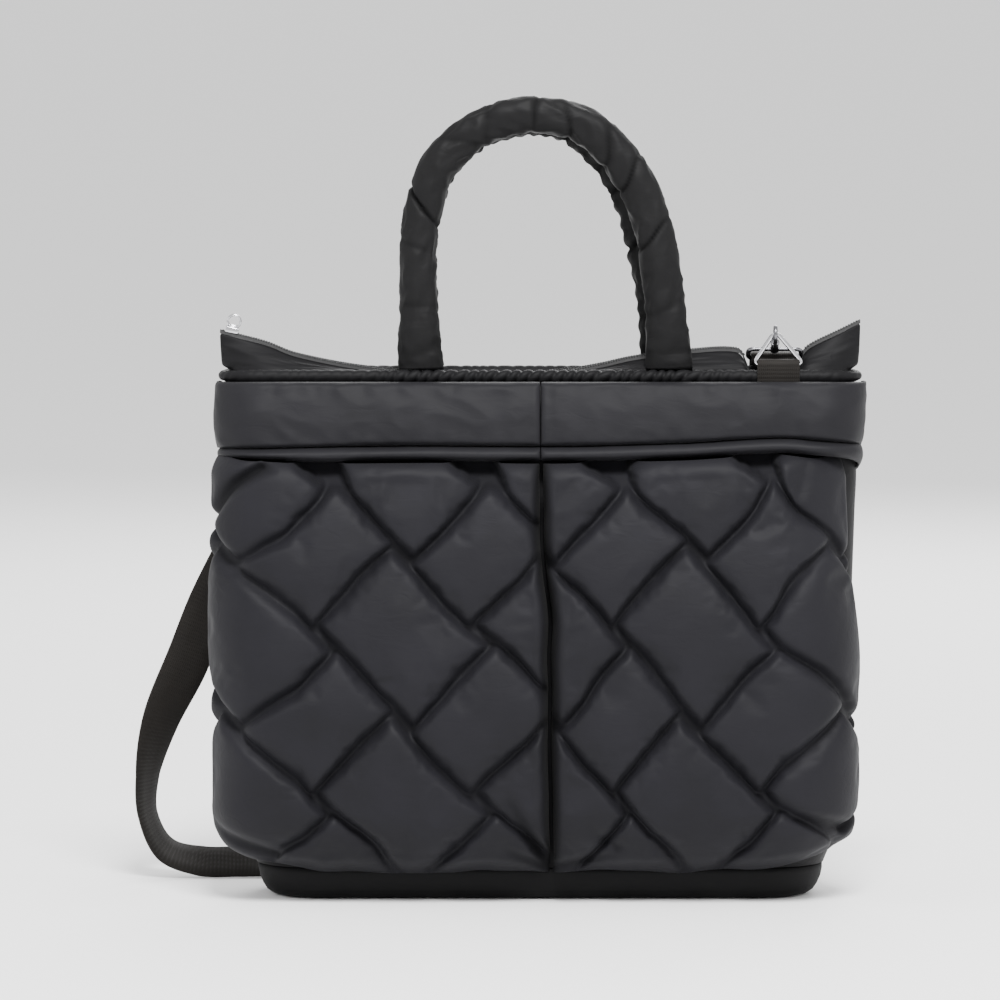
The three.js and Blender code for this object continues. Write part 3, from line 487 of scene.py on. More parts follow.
def finish_cloth(cloth, thickness, levels):
    """Subdivides the cloth and gives it a thickness inwards."""
    only(cloth)
    if levels:
        smooth = cloth.modifiers.new("Smooth", "SUBSURF")
        smooth.levels = levels
        smooth.render_levels = levels
        bpy.ops.object.modifier_apply(modifier=smooth.name)
    wall = cloth.modifiers.new("Thickness", "SOLIDIFY")
    wall.thickness = thickness * MM
    wall.offset = -1
    bpy.ops.object.modifier_apply(modifier=wall.name)
    bpy.ops.object.shade_smooth()


def dress(piece, nodes, slot):
    """The piece stands for its CAD nodes, in the finish of its slot."""
    piece.data.materials.clear()
    piece.data.materials.append(FINISHES[slot])
    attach(piece, "root")
    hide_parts(*nodes)
    piece.data.calc_loop_triangles()
    print(piece.name, "for", nodes, "with", len(piece.data.loop_triangles), "triangles")


def ripples(points, scale, seed):
    """Smooth random heights from -1 to 1 at these places, the same in each run."""
    shift = Vector((seed * 7.3, seed * 3.1, seed * 5.7))
    return np.array([noise.noise(Vector(p) * scale + shift) for p in points])


def ripples_at(x, y, seed):
    """The same over two coordinates."""
    return ripples(np.stack([x, y, 0 * x], -1), 1, seed)


def add_valley_shade(piece, dark):
    """Gives the points their painted valley shade, 0 on open cloth and 1 in the deepest folds."""
    valley_shade = piece.data.attributes.new("valley_shade", "FLOAT", "POINT")
    valley_shade.data.foreach_set("value", np.clip(dark, 0, 1))


print("Tools ready, simulation", "on")

# %% [markdown]
# ## Body
# The body is a soft shell in two halves, sewn together at the sides. It sags between its seams in
# wide shallow waves, most at the back, where no pocket holds it flat, and only the back is puffed
# by the simulation. The front half is mostly hidden. The back is the front turned half round, with
# waves of its own.

# %% Front and back of the body
BODY_GRID = (110, 80)
# how far the halves lap at the side seams, and how far the body starts above the base
SEAM_LAP = 0.15
BODY_GAP = 0.4
# shares of the height, and millimetres along the wall, over which the seams hold the cloth flat
HELD_LOW = 0.16
HELD_TOP = 0.12
HELD_SIDE = 24
FOLD_SHARE = 0.45
# how much fuller the flank beside the right pocket is, and where along and up the wall
FULL_FLANK = 4.5
FLANK_ALONG = (180, 35)
FLANK_UP = (150, 60)
FLANK_TOP = 12
# how much of the back's edges is sewn down
BACK_SEWN = 4


def body_shape(seed, slack, right):
    """Half of the body with shallow sags; right is the sign of the end with the fuller flank."""

    def shape(s, t):
        z = BASE_TOP + BODY_GAP + (WALL_TOP - BASE_TOP - BODY_GAP) * t
        u = (2 * s - 1) * (wall_length(z) + SEAM_LAP)
        seams = rise(wall_length(z) - np.abs(u), HELD_SIDE)
        held = np.minimum(rise(t, HELD_LOW) * rise(1 - t, HELD_TOP), seams)
        sag = ripples_at(u * 0.011, z * 0.016, seed)
        fold = ripples_at(u * 0.03 + z * 0.012, z * 0.02, seed + 4)
        flank = FULL_FLANK * ramp(right * u, FLANK_ALONG) * ramp(z, FLANK_UP)
        flank = flank * rise(WALL_TOP - FLANK_TOP - z, FLANK_UP[1])
        return wall_point(u, z, held * slack * (sag + FOLD_SHARE * fold) + flank)

    return shape


front_body = shaped_cloth("body_front_padded", *BODY_GRID, body_shape(seed=1, slack=0.8, right=1))
finish_cloth(front_body, WALL, levels=0)
dress(front_body, ["body_front"], "body_nylon")

back_body = shaped_cloth("body_back_padded", *BODY_GRID, body_shape(seed=2, slack=2.4, right=-1))
move_points(back_body, points_of(back_body) * (-1, -1, 1))
back_flat = points_of(back_body)
back_edge = back_flat[:, 2] < (BASE_TOP + BACK_SEWN) * MM
back_edge |= back_flat[:, 2] > (WALL_TOP - BACK_SEWN) * MM
back_edge |= np.abs(back_flat[:, 1]) < BACK_SEWN * MM
puff(back_body, back_edge, pressure=1.2, spare=0.012, stiffness=0.5, cap=5)
finish_cloth(back_body, WALL, levels=1)
dress(back_body, ["body_back"], "body_nylon")

# %% [markdown]
# The bottom is a plain darker tray: a flat underside, a rounded edge and a short wall. Rings round
# the body, one above the other, make its skin. The rings go up the outside, over the top edge and
# down to the floor inside, so that the tray is one closed shell.

# %% Base
# offsets of the rings that close the floor: its edge, and a mark for a small ring in its middle
FLOOR_EDGE = -14
FLOOR_MIDDLE = -60
FLOOR_SHRINK = (0.5, 0.2, 1)
BASE_RINGS = [
    # height, offset from the wall
    (0.0, FLOOR_MIDDLE),
    (0.0, FLOOR_EDGE),
    (0.3, -8),
    (1.6, -3.4),
    (4.0, -0.9),
    (8.0, 0.2),
    (13.0, 0.6),
    (18.0, 0.3),
    (21.4, -0.6),
    (22.0, -2.2),
    (21.2, -4.2),
    (14.0, -5.2),
    (6.4, -6.4),
    (5.0, -9),
    (5.0, FLOOR_MIDDLE),
]
RING_POINTS = 192
BASE_WOBBLE = 0.9
WOBBLE_HEIGHT = 12
WOBBLE_ROUND = 120


def ring_round_body(z, offset):
    """Points all round the body at one height, from the left seam over the front to the back."""
    half = RING_POINTS // 2
    share = np.arange(half) / half * 2 - 1
    front = wall_point(share * wall_length(z), z, offset)
    back = front * (-1, -1, 1)
    return np.concatenate([front, back])


def closed_skin(name, rings):
    """A skin over rings of points in millimetres, capped at both ends."""
    count = len(rings[0])
    faces = []
    for r in range(len(rings) - 1):
        here = r * count
        above = here + count
        for k in range(count):
            n = (k + 1) % count
            faces.append((here + k, here + n, above + n, above + k))
    faces.append(tuple(range(count - 1, -1, -1)))
    faces.append(tuple((len(rings) - 1) * count + k for k in range(count)))
    mesh = bpy.data.meshes.new(name)
    mesh.from_pydata((np.concatenate(rings) * MM).tolist(), [], faces)
    skin = bpy.data.objects.new(name, mesh)
    bpy.context.scene.collection.objects.link(skin)
    only(skin)
    open_mesh()
    bpy.ops.mesh.normals_make_consistent(inside=False)
    bpy.ops.object.mode_set(mode="OBJECT")
    bpy.ops.object.shade_smooth()
    return skin


base_rings = []
for height, offset in BASE_RINGS:
    if offset > FLOOR_MIDDLE:
        ring = ring_round_body(height, offset)
        wall_share = 1 - abs(height - WOBBLE_HEIGHT) / WOBBLE_HEIGHT if 0 < height < BASE_TOP else 0
        wobble = ripples(ring, 0.035, 11) * BASE_WOBBLE * wall_share
        ring[:, :2] *= 1 + (wobble / WOBBLE_ROUND)[:, None]
    else:
        ring = ring_round_body(height, FLOOR_EDGE) * FLOOR_SHRINK
    base_rings.append(ring)
base = closed_skin("base_tray_padded", base_rings)
dress(base, ["base_tray"], "base_nylon")
# %% [markdown]
# ## Woven pockets
# Each pocket front is woven from stuffed strips that cross at a slant, over one and under the next,
# so that each crossing shows as a puffed pad with a dark valley round it. The strips could be made
# one by one and threaded, but the eye only sees the pads. So a cloth is cut whose threads run along
# the two ways of the weave, its valleys are held down, and the simulation fills the pads between
# them. The pads follow the lattice of the weave, so that lattice comes first.

# %% Lattice of the weave
# distance of the first column of pads from the middle and step to the next, left and right
FIRST_COLUMN = {-1: 40, 1: 50.5}
COLUMN_STEP = {-1: 51.2, 1: 50}
FIRST_ROW = 15.5
ROW_STEP = 54.2
THREADS_PER_PAD = 32
# half length along the strip and half width across it, as shares of the step from pad to pad
SLASH_PAD = (0.5135, 0.3575)
BACKSLASH_PAD = (0.6075, 0.4515)
# how squarely a pad drops at its ends, where it dives under, and along its flanks
END_STEEPNESS = 10
FLANK_STEEPNESS = 18
# how much the top of a pad is rounded
PAD_CROWN = 0.16
# where the pocket starts and ends along the front and where its lower edge is
POCKET_START = 1.2
POCKET_END = 223
POCKET_LOW = 20
# how far the pocket's back stands off the body at its seams and in the open
EDGE_STAND = 0.9
POUCH_DEPTH = 14
# over which lengths it gets there
MIDDLE_REACH = 9
SEAM_REACH = 44
MIDDLE_OPENS = (252, 36)
BAND_EDGE = [
    # way along the front, height of the band's lower edge
    (-235, 298),
    (-170, 301),
    (-80, 302.5),
    (0, 302),
    (90, 304),
    (160, 307.5),
    (200, 303),
    (235, 296),
]
HEM_DROP = 10
LEFT_HEM_TAPER = 4
TAPER_SPAN = (140, 70)
# how far the pocket's top stays below the hem
HEM_GAP = 0.6


def band_edge(u):
    return along_table(BAND_EDGE, 1, u)


def hem_drop(u):
    """Height of the hem, which gets narrower towards its left end."""
    return HEM_DROP - LEFT_HEM_TAPER * ramp(-u, TAPER_SPAN)


def pocket_top(u):
    return band_edge(u) - hem_drop(u) - HEM_GAP


def lattice(along, z, side):
    """A place on the pocket in steps of the two ways of the weave, outwards and up or down."""
    column = (along - FIRST_COLUMN[side]) / COLUMN_STEP[side]
    row = (z - FIRST_ROW) / ROW_STEP
    return (column + row) / 2, (column - row) / 2


def pad_relief(along, z, side, squeeze):
    """Height of the pads over the valleys, from 0 to 1; squeeze makes the pads smaller."""
    out_up, out_down = lattice(along, z, side)
    relief = np.zeros_like(out_up)
    for da in (-1, 0, 1):
        for db in (-1, 0, 1):
            a = np.round(out_up) + da
            b = np.round(out_down) + db
            slash = (a + b) % 2 == 0
            long_half = np.where(slash, SLASH_PAD[0], BACKSLASH_PAD[0])
            wide_half = np.where(slash, SLASH_PAD[1], BACKSLASH_PAD[1])
            runs_up = slash == (side > 0)
            way_up = np.abs(out_up - a)
            way_down = np.abs(out_down - b)
            lengthwise = np.clip(np.where(runs_up, way_up, way_down) / long_half * (1 + squeeze), 0, 1)
            crosswise = np.clip(np.where(runs_up, way_down, way_up) / wide_half * (1 + squeeze), 0, 1)
            end = 1 - lengthwise**END_STEEPNESS
            flank = 1 - crosswise**FLANK_STEEPNESS
            crown = 1 - PAD_CROWN + PAD_CROWN * np.cos(lengthwise) * np.cos(crosswise)
            relief = np.maximum(relief, np.sqrt(end * flank) * crown)
    return relief


def pouch_stand(along, z):
    """How far the pocket's back stands off the body, sewn down at the sides, bottom and middle."""
    low_middle = round_rise(along - POCKET_START, MIDDLE_REACH)
    middle = low_middle + (1 - low_middle) * ramp(z, MIDDLE_OPENS)
    sewn = middle * rise(POCKET_END - along, SEAM_REACH) * rise(z - POCKET_LOW, SEAM_REACH)
    return EDGE_STAND + (POUCH_DEPTH - EDGE_STAND) * sewn


print("A pad every", round(math.hypot(COLUMN_STEP[1], ROW_STEP), 1), "mm along the strips")

# %% [markdown]
# A grid of quads along the two ways of the weave is cut to the pocket with four bisect cuts, two at
# the sides and two at the ends, while it still lies flat. Its valleys then run along the threads
# and stay straight.

# %% Cut the pocket cloth
# places along the front where the height of the pocket's top is tried
TOP_PLACES = (POCKET_START, 80, 160, POCKET_END)


def cut_flat(cloth, corner, way):
    """Cuts away what lies beyond a line in the flat cloth, on the side that way points to."""
    only(cloth)
    open_mesh()
    bpy.ops.mesh.bisect(plane_co=corner, plane_no=way, clear_outer=True)
    bpy.ops.object.mode_set(mode="OBJECT")


def pocket_sheet(name, side, top_height):
    """Flat cloth with its threads along the weave, cut to the pocket."""
    corners = [lattice(np.float64(c), np.float64(h), side) for c in (POCKET_START, POCKET_END)
               for h in (POCKET_LOW, top_height)]
    low = np.floor(np.min(corners, axis=0) * THREADS_PER_PAD) / THREADS_PER_PAD
    high = np.ceil(np.max(corners, axis=0) * THREADS_PER_PAD) / THREADS_PER_PAD
    threads = np.round((high - low) * THREADS_PER_PAD).astype(int)
    first, second = (0, 1) if side < 0 else (1, 0)
    cloth = flat_cloth(name, int(threads[first]), int(threads[second]))
    flat = points_of(cloth)
    out_up = low[0] + (high[0] - low[0]) * flat[:, first]
    out_down = low[1] + (high[1] - low[1]) * flat[:, second]
    along = FIRST_COLUMN[side] + (out_up + out_down) * COLUMN_STEP[side]
    height = FIRST_ROW + (out_up - out_down) * ROW_STEP
    move_points(cloth, np.stack([side * along, height, 0 * along], -1) * MM)
    cut_flat(cloth, (side * POCKET_END * MM, 0, 0), (side, 0, 0))
    cut_flat(cloth, (side * POCKET_START * MM, 0, 0), (-side, 0, 0))
    cut_flat(cloth, (0, POCKET_LOW * MM, 0), (0, -1, 0))
    cut_flat(cloth, (0, top_height * MM, 0), (0, 1, 0))
    return cloth


POCKET_SHEETS = {}
for label, side in (("left", -1), ("right", 1)):
    top = max(float(pocket_top(side * way)) for way in TOP_PLACES)
    POCKET_SHEETS[side] = (pocket_sheet(f"pocket_{label}_woven", side, top), top)
    print("The", label, "pocket is cut with", len(POCKET_SHEETS[side][0].data.vertices), "points")

# %% [markdown]
# The flat cloth is then laid on the bag. Sewn cloth is never even, so the lattice wanders a little,
# the pads get smaller and are gathered under the hem, and at the sewn corners the cloth is caught
# in sharp tucks. The tucks are drawn as short lines from point to point, and the cloth dips along
# each of them.

# %% Lay and puff the pockets
TUCKS = {
    # side: from (x, z), to (x, z), depth and half width of the dip
    -1: [
        ((-24, 70), (-4, 28), 11.0, 3.6),
        ((-26, 36), (-4, 25), 9.0, 3.2),
        ((-200, 44), (-172, 30), 8.0, 4.0),
        ((-217, 242), (-180, 288), 12.0, 3.2),
    ],
    1: [
        ((24, 54), (47, 39), 4.0, 3.8),
        ((46, 33), (5, 26), 8.0, 3.4),
        ((166, 58), (192, 40), 10.0, 3.6),
        ((214, 54), (192, 40), 9.0, 3.8),
    ],
}
# share of a tuck's depth at its shallow start
TUCK_START = 0.25
# share of the height above which the cloth follows the hem's curve
TOP_BENDS = 0.6
# the pads: their height, how much it varies and is less at the sides, and the crinkles of their edges
PAD_HEIGHT = 12
PAD_VARIES = 0.16
SIDE_FLATTER = 0.3
FLATTER_SPAN = (165, 40)
CRINKLE = 0.8
# how far from the middle, the sides and the lower and upper edges the pads get their full height
PAD_FROM_MIDDLE = 7
PAD_FROM_SIDE = 15
PAD_FROM_EDGE = 12
# the gathers under the hem: how far down they go, how deep, and how much smaller they make the pads
GATHER_REACH = 24
GATHER_DEPTH = 17
GATHER_SQUEEZE = 0.24
GATHER_FROM_SIDE = 40
# how far the lattice wanders, and how far from the edges it starts to
UNEVEN = 4.0
LOOSE_FROM_SIDE = 25
LOOSE_FROM_EDGE = 20
SPOT_WAVE = 0.02
# the divide between the pockets: how far it wanders and leans
CLEFT_WANDER = 2.0
CLEFT_WAVE = 0.03
CLEFT_REACH = 30
DIVIDE_LEAN = 6.5
LEAN_REACH = 70
LEAN_TOP = 275
LEAN_FADE = 110
# how far the upper side edge lies further in, left and right
SIDE_INSET = {-1: 0, 1: 13}
INSET_ALONG = (120, 100)
INSET_UP = (150, 100)
# how far the lower edge rises towards the side, left and right, and wanders
LOW_RISE = {-1: 9, 1: 14}
RISE_SPAN = (130, 85)
LOW_WANDER = 2.5
LOW_WAVE = 0.035
LOW_FADE = 80
# how much less each pocket stands out at its side, at the top and lower down
SIDE_TRIM = {-1: (1.5, -3.5), 1: (8.5, 4.5)}
TRIM_SPAN = (155, 45)
TRIM_FADE = 70
# the upper outer corner is tucked in and up under the hem
CORNER_SPAN = (185, 25)
CORNER_FADE = 10
CORNER_IN = 2.5
CORNER_UP = 4
# how far the cloth stands off the pocket's back, which share of that is left at the seams,
# and the least that it stands off the body
POCKET_SKIN = 6.3
SEAM_SKIN = 0.2
SKIN_REACH = 12
LEAST_STAND = 1.5
# the painted valley shade: its mean, how much it varies, how fast it fades up the pads, and its share
# low down
VALLEY_SHADE_MEAN = 0.16
VALLEY_SHADE_VARIES = 0.25
VALLEY_SHADE_FADE = 2.2
VALLEY_SHADE_LOW = 0.6
VALLEY_SHADE_SPAN = (50, 80)
# the painted shade along the divide: how fast it fades from the middle, and its share in the tucks
CLEFT_SHADE = 3.5
TUCK_SHADE = 0.06
# cloth this low between the pads, or this deep in a tuck, is sewn down, and so is this much of each edge
SEWN_RELIEF = 0.10
SEWN_DIP = 2.0
SEWN_EDGE = 1


def tuck_depth(u, z, tucks):
    """How deep the tucks pull the cloth in at these places."""
    depth = np.zeros_like(u)
    for (u0, z0), (u1, z1), deep, half_width in tucks:
        length2 = (u1 - u0) ** 2 + (z1 - z0) ** 2
        share = np.clip(((u - u0) * (u1 - u0) + (z - z0) * (z1 - z0)) / length2, 0, 1)
        gap = np.hypot(u - u0 - share * (u1 - u0), z - z0 - share * (z1 - z0))
        deepening = TUCK_START + (1 - TUCK_START) * share
        depth = np.maximum(depth, deep * deepening * np.exp(-((gap / half_width) ** 2)))
    return depth


def lay_pocket(cloth, side, top_height):
    """Lays the flat pocket cloth on the bag, and says which of its points are sewn down."""
    flat = points_of(cloth) / MM
    u = flat[:, 0]
    cut_z = flat[:, 1]
    along = np.abs(u)
    share = (cut_z - POCKET_LOW) / (top_height - POCKET_LOW)
    z = cut_z + (pocket_top(u) - top_height) * rise(share - TOP_BENDS, 1 - TOP_BENDS)
    room_up = pocket_top(u) - z
    room_low = z - POCKET_LOW
    room_side = POCKET_END - along
    room_middle = along - POCKET_START

    gathered = 1 - rise(room_up, GATHER_REACH)
    relief = pad_relief(along, cut_z, side, GATHER_SQUEEZE * gathered**1.5)
    border = round_rise(room_middle + 0.5, PAD_FROM_MIDDLE) * rise(room_side, PAD_FROM_SIDE)
    border = border * round_rise(room_low, PAD_FROM_EDGE) * round_rise(room_up + 1, PAD_FROM_EDGE)
    gather = GATHER_DEPTH * gathered * (1 - relief) * rise(room_side, GATHER_FROM_SIDE)
    dip = tuck_depth(u, z, TUCKS[side])

    loose = rise(room_middle, LOOSE_FROM_SIDE) * rise(room_side, LOOSE_FROM_SIDE)
    loose = loose * rise(room_low, LOOSE_FROM_EDGE) * rise(room_up, LOOSE_FROM_EDGE)
    spots = np.stack([u * SPOT_WAVE, z * SPOT_WAVE, 0 * z], -1)
    cleft = (1 - rise(room_middle, CLEFT_REACH)) * ripples_at(0 * z, z * CLEFT_WAVE, 44)
    lean = (1 - rise(room_middle, LEAN_REACH)) * rise(LEAN_TOP - z, LEAN_FADE)
    u = u + UNEVEN * loose * ripples(spots, 1, 41) + CLEFT_WANDER * cleft + DIVIDE_LEAN * lean
    z = z + UNEVEN * loose * ripples(spots, 1, 42)
    u = u - side * SIDE_INSET[side] * ramp(along, INSET_ALONG) * ramp(z, INSET_UP)
    lift = LOW_RISE[side] * ramp(along, RISE_SPAN) + LOW_WANDER * ripples_at(u * LOW_WAVE, 0 * u, 47)
    z = z + lift * (1 - rise(z - POCKET_LOW, LOW_FADE))

    plump = PAD_HEIGHT * (1 + PAD_VARIES * ripples(spots, 0.8, 43))
    plump = plump * (1 - SIDE_FLATTER * ramp(along, FLATTER_SPAN))
    low_down = rise(room_up, TRIM_FADE)
    trim_top, trim_low = SIDE_TRIM[side]
    trim = ramp(along, TRIM_SPAN) * (trim_top * (1 - low_down) + trim_low * low_down)
    corner = (1 - rise(room_up, CORNER_FADE)) * ramp(along, CORNER_SPAN)
    crinkle = CRINKLE * 4 * relief * (1 - relief) * ripples(spots, 9, 45)
    off_seam = rise(np.minimum(room_side, cut_z - POCKET_LOW), SKIN_REACH)
    skin = POCKET_SKIN * (SEAM_SKIN + (1 - SEAM_SKIN) * off_seam)
    stand = pouch_stand(along, z) + skin + plump * relief * border
    stand = stand - gather - dip - trim + crinkle - CORNER_IN * corner
    move_points(cloth, wall_point(u, z + CORNER_UP * corner, np.maximum(stand, LEAST_STAND)) * MM)

    # painted shade: the valleys between the pads, the divide and the tucks get a darker colour by their
    # valley shade
    shaded = VALLEY_SHADE_MEAN + VALLEY_SHADE_VARIES * ripples(spots, 0.9, 46)
    shaded = shaded * (VALLEY_SHADE_LOW + (1 - VALLEY_SHADE_LOW) * ramp(z, VALLEY_SHADE_SPAN))
    dark = np.clip(1 - relief * border, 0, 1) ** VALLEY_SHADE_FADE * shaded
    dark = np.maximum(np.maximum(dark, np.exp(-room_middle / CLEFT_SHADE)), TUCK_SHADE * dip)
    add_valley_shade(cloth, dark)
    edge = (room_middle < SEWN_EDGE) | (room_side < SEWN_EDGE)
    edge = edge | (cut_z < POCKET_LOW + SEWN_EDGE) | (room_up < SEWN_EDGE)
    return edge | (relief < SEWN_RELIEF) | (dip > SEWN_DIP)


for label, side in (("left", -1), ("right", 1)):
    pocket, top = POCKET_SHEETS[side]
    sewn = lay_pocket(pocket, side, top)
    print(pocket.name, "has", int(sewn.sum()), "of its points sewn down")
    puff(pocket, sewn, pressure=2.0, spare=0.010, stiffness=1.4, cap=3.0)
    finish_cloth(pocket, CLOTH_THICK, levels=1)
    dress(pocket, [f"pocket_{label}"], "woven_nylon")

# %% [markdown]
# ## Band and hem over each pocket
# A smooth padded band closes the top of each pocket, and under it runs a narrow hem like a soft
# cord. Both stand off the body over the pocket's mouth and are sewn down at the side seam. Their
# edges roll inwards, as the edges of stuffed strips do. The band gets shallow waves and folds from
# the filling, and small puckers along its stitched edges.

# %% Bands and hems
BAND_GRID = (120, 28)
HEM_GRID = (160, 12)
BAND_TOP = 344
BAND_THICK = 6
BAND_CROWN = 2.6
BAND_ROLL = 4.5
BAND_WAVES = 1.1
BAND_PUCKERS = 1.2
HEM_THICK = 5
HEM_CROWN = 2.8
HEM_ROLL = 4.0
HEM_WAVES = 0.35
# how far hem and band overlap at the sides, and how much less in the open
HEM_OVERLAP = 1.2
OVERLAP_LESS = 1.6
OVERLAP_END = 222
OVERLAP_REACH = 40
MOUTH_DEPTH = 13
MOUTH_TAPER = 46
CENTRE_GAP = 0.5
# the end at the middle is rolled too: its edge's distance there, and how that grows outwards
CENTRE_EDGE = 0.6
CENTRE_GROWS = 0.9
END_ROOM = 1.5
# shares of the thickness and of the rolled edge that are left at the sewn end
SEWN_THICK = 0.5
SEWN_ROLL = 0.06
BAND_END_DIP = 1.6
DIP_SPAN = (185, 40)
RIGHT_HEM_DROP = 4.5
DROP_SPAN = (190, 34)
# how much further out the lower edge of band and hem stands at the side end, left and right
END_TILT = {-1: 2.2, 1: 0}
# how deep the finer waves and the folds are against the wide waves
FINE_WAVES = 0.5
FOLDS = 1.3
PUCKER_START = 3
PUCKER_REACH = 11


def band_top(u):
    return BAND_TOP - BAND_END_DIP * ramp(np.abs(u), DIP_SPAN)


def hem_low(u):
    return band_edge(u) - hem_drop(u) - RIGHT_HEM_DROP * ramp(u, DROP_SPAN)


def hem_high(u):
    return band_edge(u) + HEM_OVERLAP - OVERLAP_LESS * rise(OVERLAP_END - np.abs(u), OVERLAP_REACH)


def strip_shape(side, low_edge, high_edge, thick, crown, roll, waves, puckers):
    """A stuffed strip along the pocket mouth, with rolled edges."""

    def shape(s, t):
        share = s if side > 0 else 1 - s
        end = float(wall_length(float(low_edge(0.0)))) - END_ROOM
        u = side * (CENTRE_GAP / 2 + (end - CENTRE_GAP / 2) * share)
        tall = high_edge(u) - low_edge(u)
        z = low_edge(u) + tall * t
        sewn = rise(end - np.abs(u), MOUTH_TAPER)
        full = SEWN_THICK + (1 - SEWN_THICK) * sewn
        bend = roll * (SEWN_ROLL + (1 - SEWN_ROLL) * sewn**2)
        edge = np.minimum(np.minimum(t, 1 - t) * tall, CENTRE_GROWS * np.abs(u) + CENTRE_EDGE)
        rolled = bend * (1 - round_rise(edge, bend))
        stand = EDGE_STAND + (MOUTH_DEPTH - EDGE_STAND) * sewn - rolled
        stand = stand + full * (thick + crown * np.sin(math.pi * t))
        stand = stand + END_TILT[side] * (1 - sewn) * (1 - 2 * t)
        wave = ripples_at(u * 0.022, z * 0.02, 20 + side)
        wave += FINE_WAVES * ripples_at(u * 0.06, z * 0.05, 30 + side)
        wave -= FOLDS * np.abs(ripples_at(u * 0.045 + z * 0.02, z * 0.06, 38 + side))
        pucker = ripples_at(u * 0.11, z * 0.035, 34 + side) * np.clip(edge / PUCKER_START, 0, 1)
        pucker = pucker * (1 - rise(edge - PUCKER_START, PUCKER_REACH))
        return wall_point(u, z, stand + waves * wave * np.clip(edge / bend, 0, 1) + puckers * pucker)

    return shape


for label, side in (("left", -1), ("right", 1)):
    band_cut = strip_shape(side, band_edge, band_top, BAND_THICK, BAND_CROWN, BAND_ROLL,
                           BAND_WAVES, BAND_PUCKERS)
    band = shaped_cloth(f"pocket_band_{label}_padded", *BAND_GRID, band_cut)
    finish_cloth(band, CLOTH_THICK, levels=1)
    dress(band, [f"pocket_band_{label}"], "band_nylon")
    hem_cut = strip_shape(side, hem_low, hem_high, HEM_THICK, HEM_CROWN, HEM_ROLL, HEM_WAVES, HEM_WAVES)
    hem = shaped_cloth(f"pocket_hem_{label}_padded", *HEM_GRID, hem_cut)
    finish_cloth(hem, CLOTH_THICK, levels=1)
    dress(hem, [f"pocket_hem_{label}"], "band_nylon")

# %% [markdown]
# ## Rolled rim
# The edge of the mouth is bound with a strip of nylon that is rolled over it. Along the middle of
# the front it is twisted by its stitching and looks like a thin rope. A ring of points is carried
# along the rim, and its outline swells and shrinks in a slanting wave, so that the swellings wind
# round the roll as puckers do. The ends and the back are nearly smooth.

# %% Binding of the rim
BINDING_RADIUS = 4.7
BINDING_Z = WALL_TOP + 0.3 + BINDING_RADIUS
PUCKER_PITCH = 7.4
PUCKER_DEPTH = 0.42
RIM_STEPS = 420
RIM_SIDES = 20
RIM_SWELL = 1.08
# at its ends the roll is thinner and lies further in
RIM_END_SHARE = 0.55
RIM_END_STAND = 0.6
RIM_END_REACH = 40
SEAM_GAP = 0.2
# where along the front the roll is twisted, and how much it is elsewhere
TWIST_FROM = -135
TWIST_TO = 150
TWIST_REACH = 60
LEAST_TWIST = 0.25


def rolled_rim(name, back):
    """Binding over one half of the mouth."""
    angle = np.arange(RIM_SIDES) / RIM_SIDES * math.tau
    half_length = float(wall_length(BINDING_Z))
    rings = []
    for k in range(RIM_STEPS + 1):
        u = (2 * k / RIM_STEPS - 1) * (half_length - SEAM_GAP)
        inner = float(rise(half_length - abs(u), RIM_END_REACH))
        stand = -WALL / 2 * inner - RIM_END_STAND * (1 - inner)
        middle = wall_point(u, BINDING_Z, stand)
        out = wall_point(u, BINDING_Z, stand + 1) - middle
        in_middle = float(rise(u - TWIST_FROM, TWIST_REACH) * rise(TWIST_TO - u, TWIST_REACH))
        twisted = LEAST_TWIST if back else LEAST_TWIST + (1 - LEAST_TWIST) * in_middle
        uneven = 1 + 0.25 * noise.noise(Vector((u * 0.03, 2.0 + back, 0)))
        turn = u / PUCKER_PITCH + 0.8 * noise.noise(Vector((u * 0.05, 2.0 + back, 0)))
        pinch = np.abs(np.sin(angle - turn * math.pi))
        at_end = RIM_END_SHARE + (1 - RIM_END_SHARE) * inner
        shrink = PUCKER_DEPTH * uneven * twisted * (1 - pinch) ** 1.5
        radius = BINDING_RADIUS * at_end * (RIM_SWELL - shrink)
        ring = middle + np.outer(radius * np.cos(angle), out)
        ring[:, 2] += radius * np.sin(angle)
        rings.append(ring)
    if back:
        rings = [ring * (1, -1, 1) for ring in rings]
    return closed_skin(name, rings)


dress(rolled_rim("rim_binding_front_rolled", 0), ["rim_binding_front"], "body_nylon")
dress(rolled_rim("rim_binding_back_rolled", 1), ["rim_binding_back"], "body_nylon")

# %% [markdown]
# ## Top panels
# Inside the rim a soft panel on each side climbs to the zip. It is low in the middle, where the zip
# is open, and high at the two ends, where the closed end of the zip stands up as a small ear. A
# table gives the height of the zip along the bag and half the gap between the two sides. The cloth
# between rim and zip gets loose waves.

# %% Front and back top panel
ZIP_LINE = [
    # x, height, half the gap between the two sides
    (-214, 374, 1),
    (-198, 370, 1.4),
    (-183, 366, 2),
    (-162, 358, 3.5),
    (-110, 348.5, 7),
    (-60, 344.5, 9),
    (-20, 344, 9.5),
    (20, 347.5, 8.5),
    (40, 351, 7),
    (60, 355.5, 5.5),
    (80, 358.5, 5),
    (100, 360.5, 4.8),
    (122, 362, 4.8),
    (131, 361.3, 4.8),
    (136, 357, 4.8),
    (139, 346, 4.8),
    (171.5, 346.5, 3.5),
    (173.5, 356, 3.2),
    (176.5, 361.5, 2.8),
    (182, 365.3, 2.4),
    (189, 368.8, 2.0),
    (198, 373, 1.6),
    (214, 381, 1),
]
ZIP_LINE_HALF = 213
PANEL_GRID = (150, 18)
GUSSET_INSET = 8
GUSSET_THICK = 2.5
GUSSET_FOOT = 331
GUSSET_SHOULDER = 350
GUSSET_WAVES = 2.2
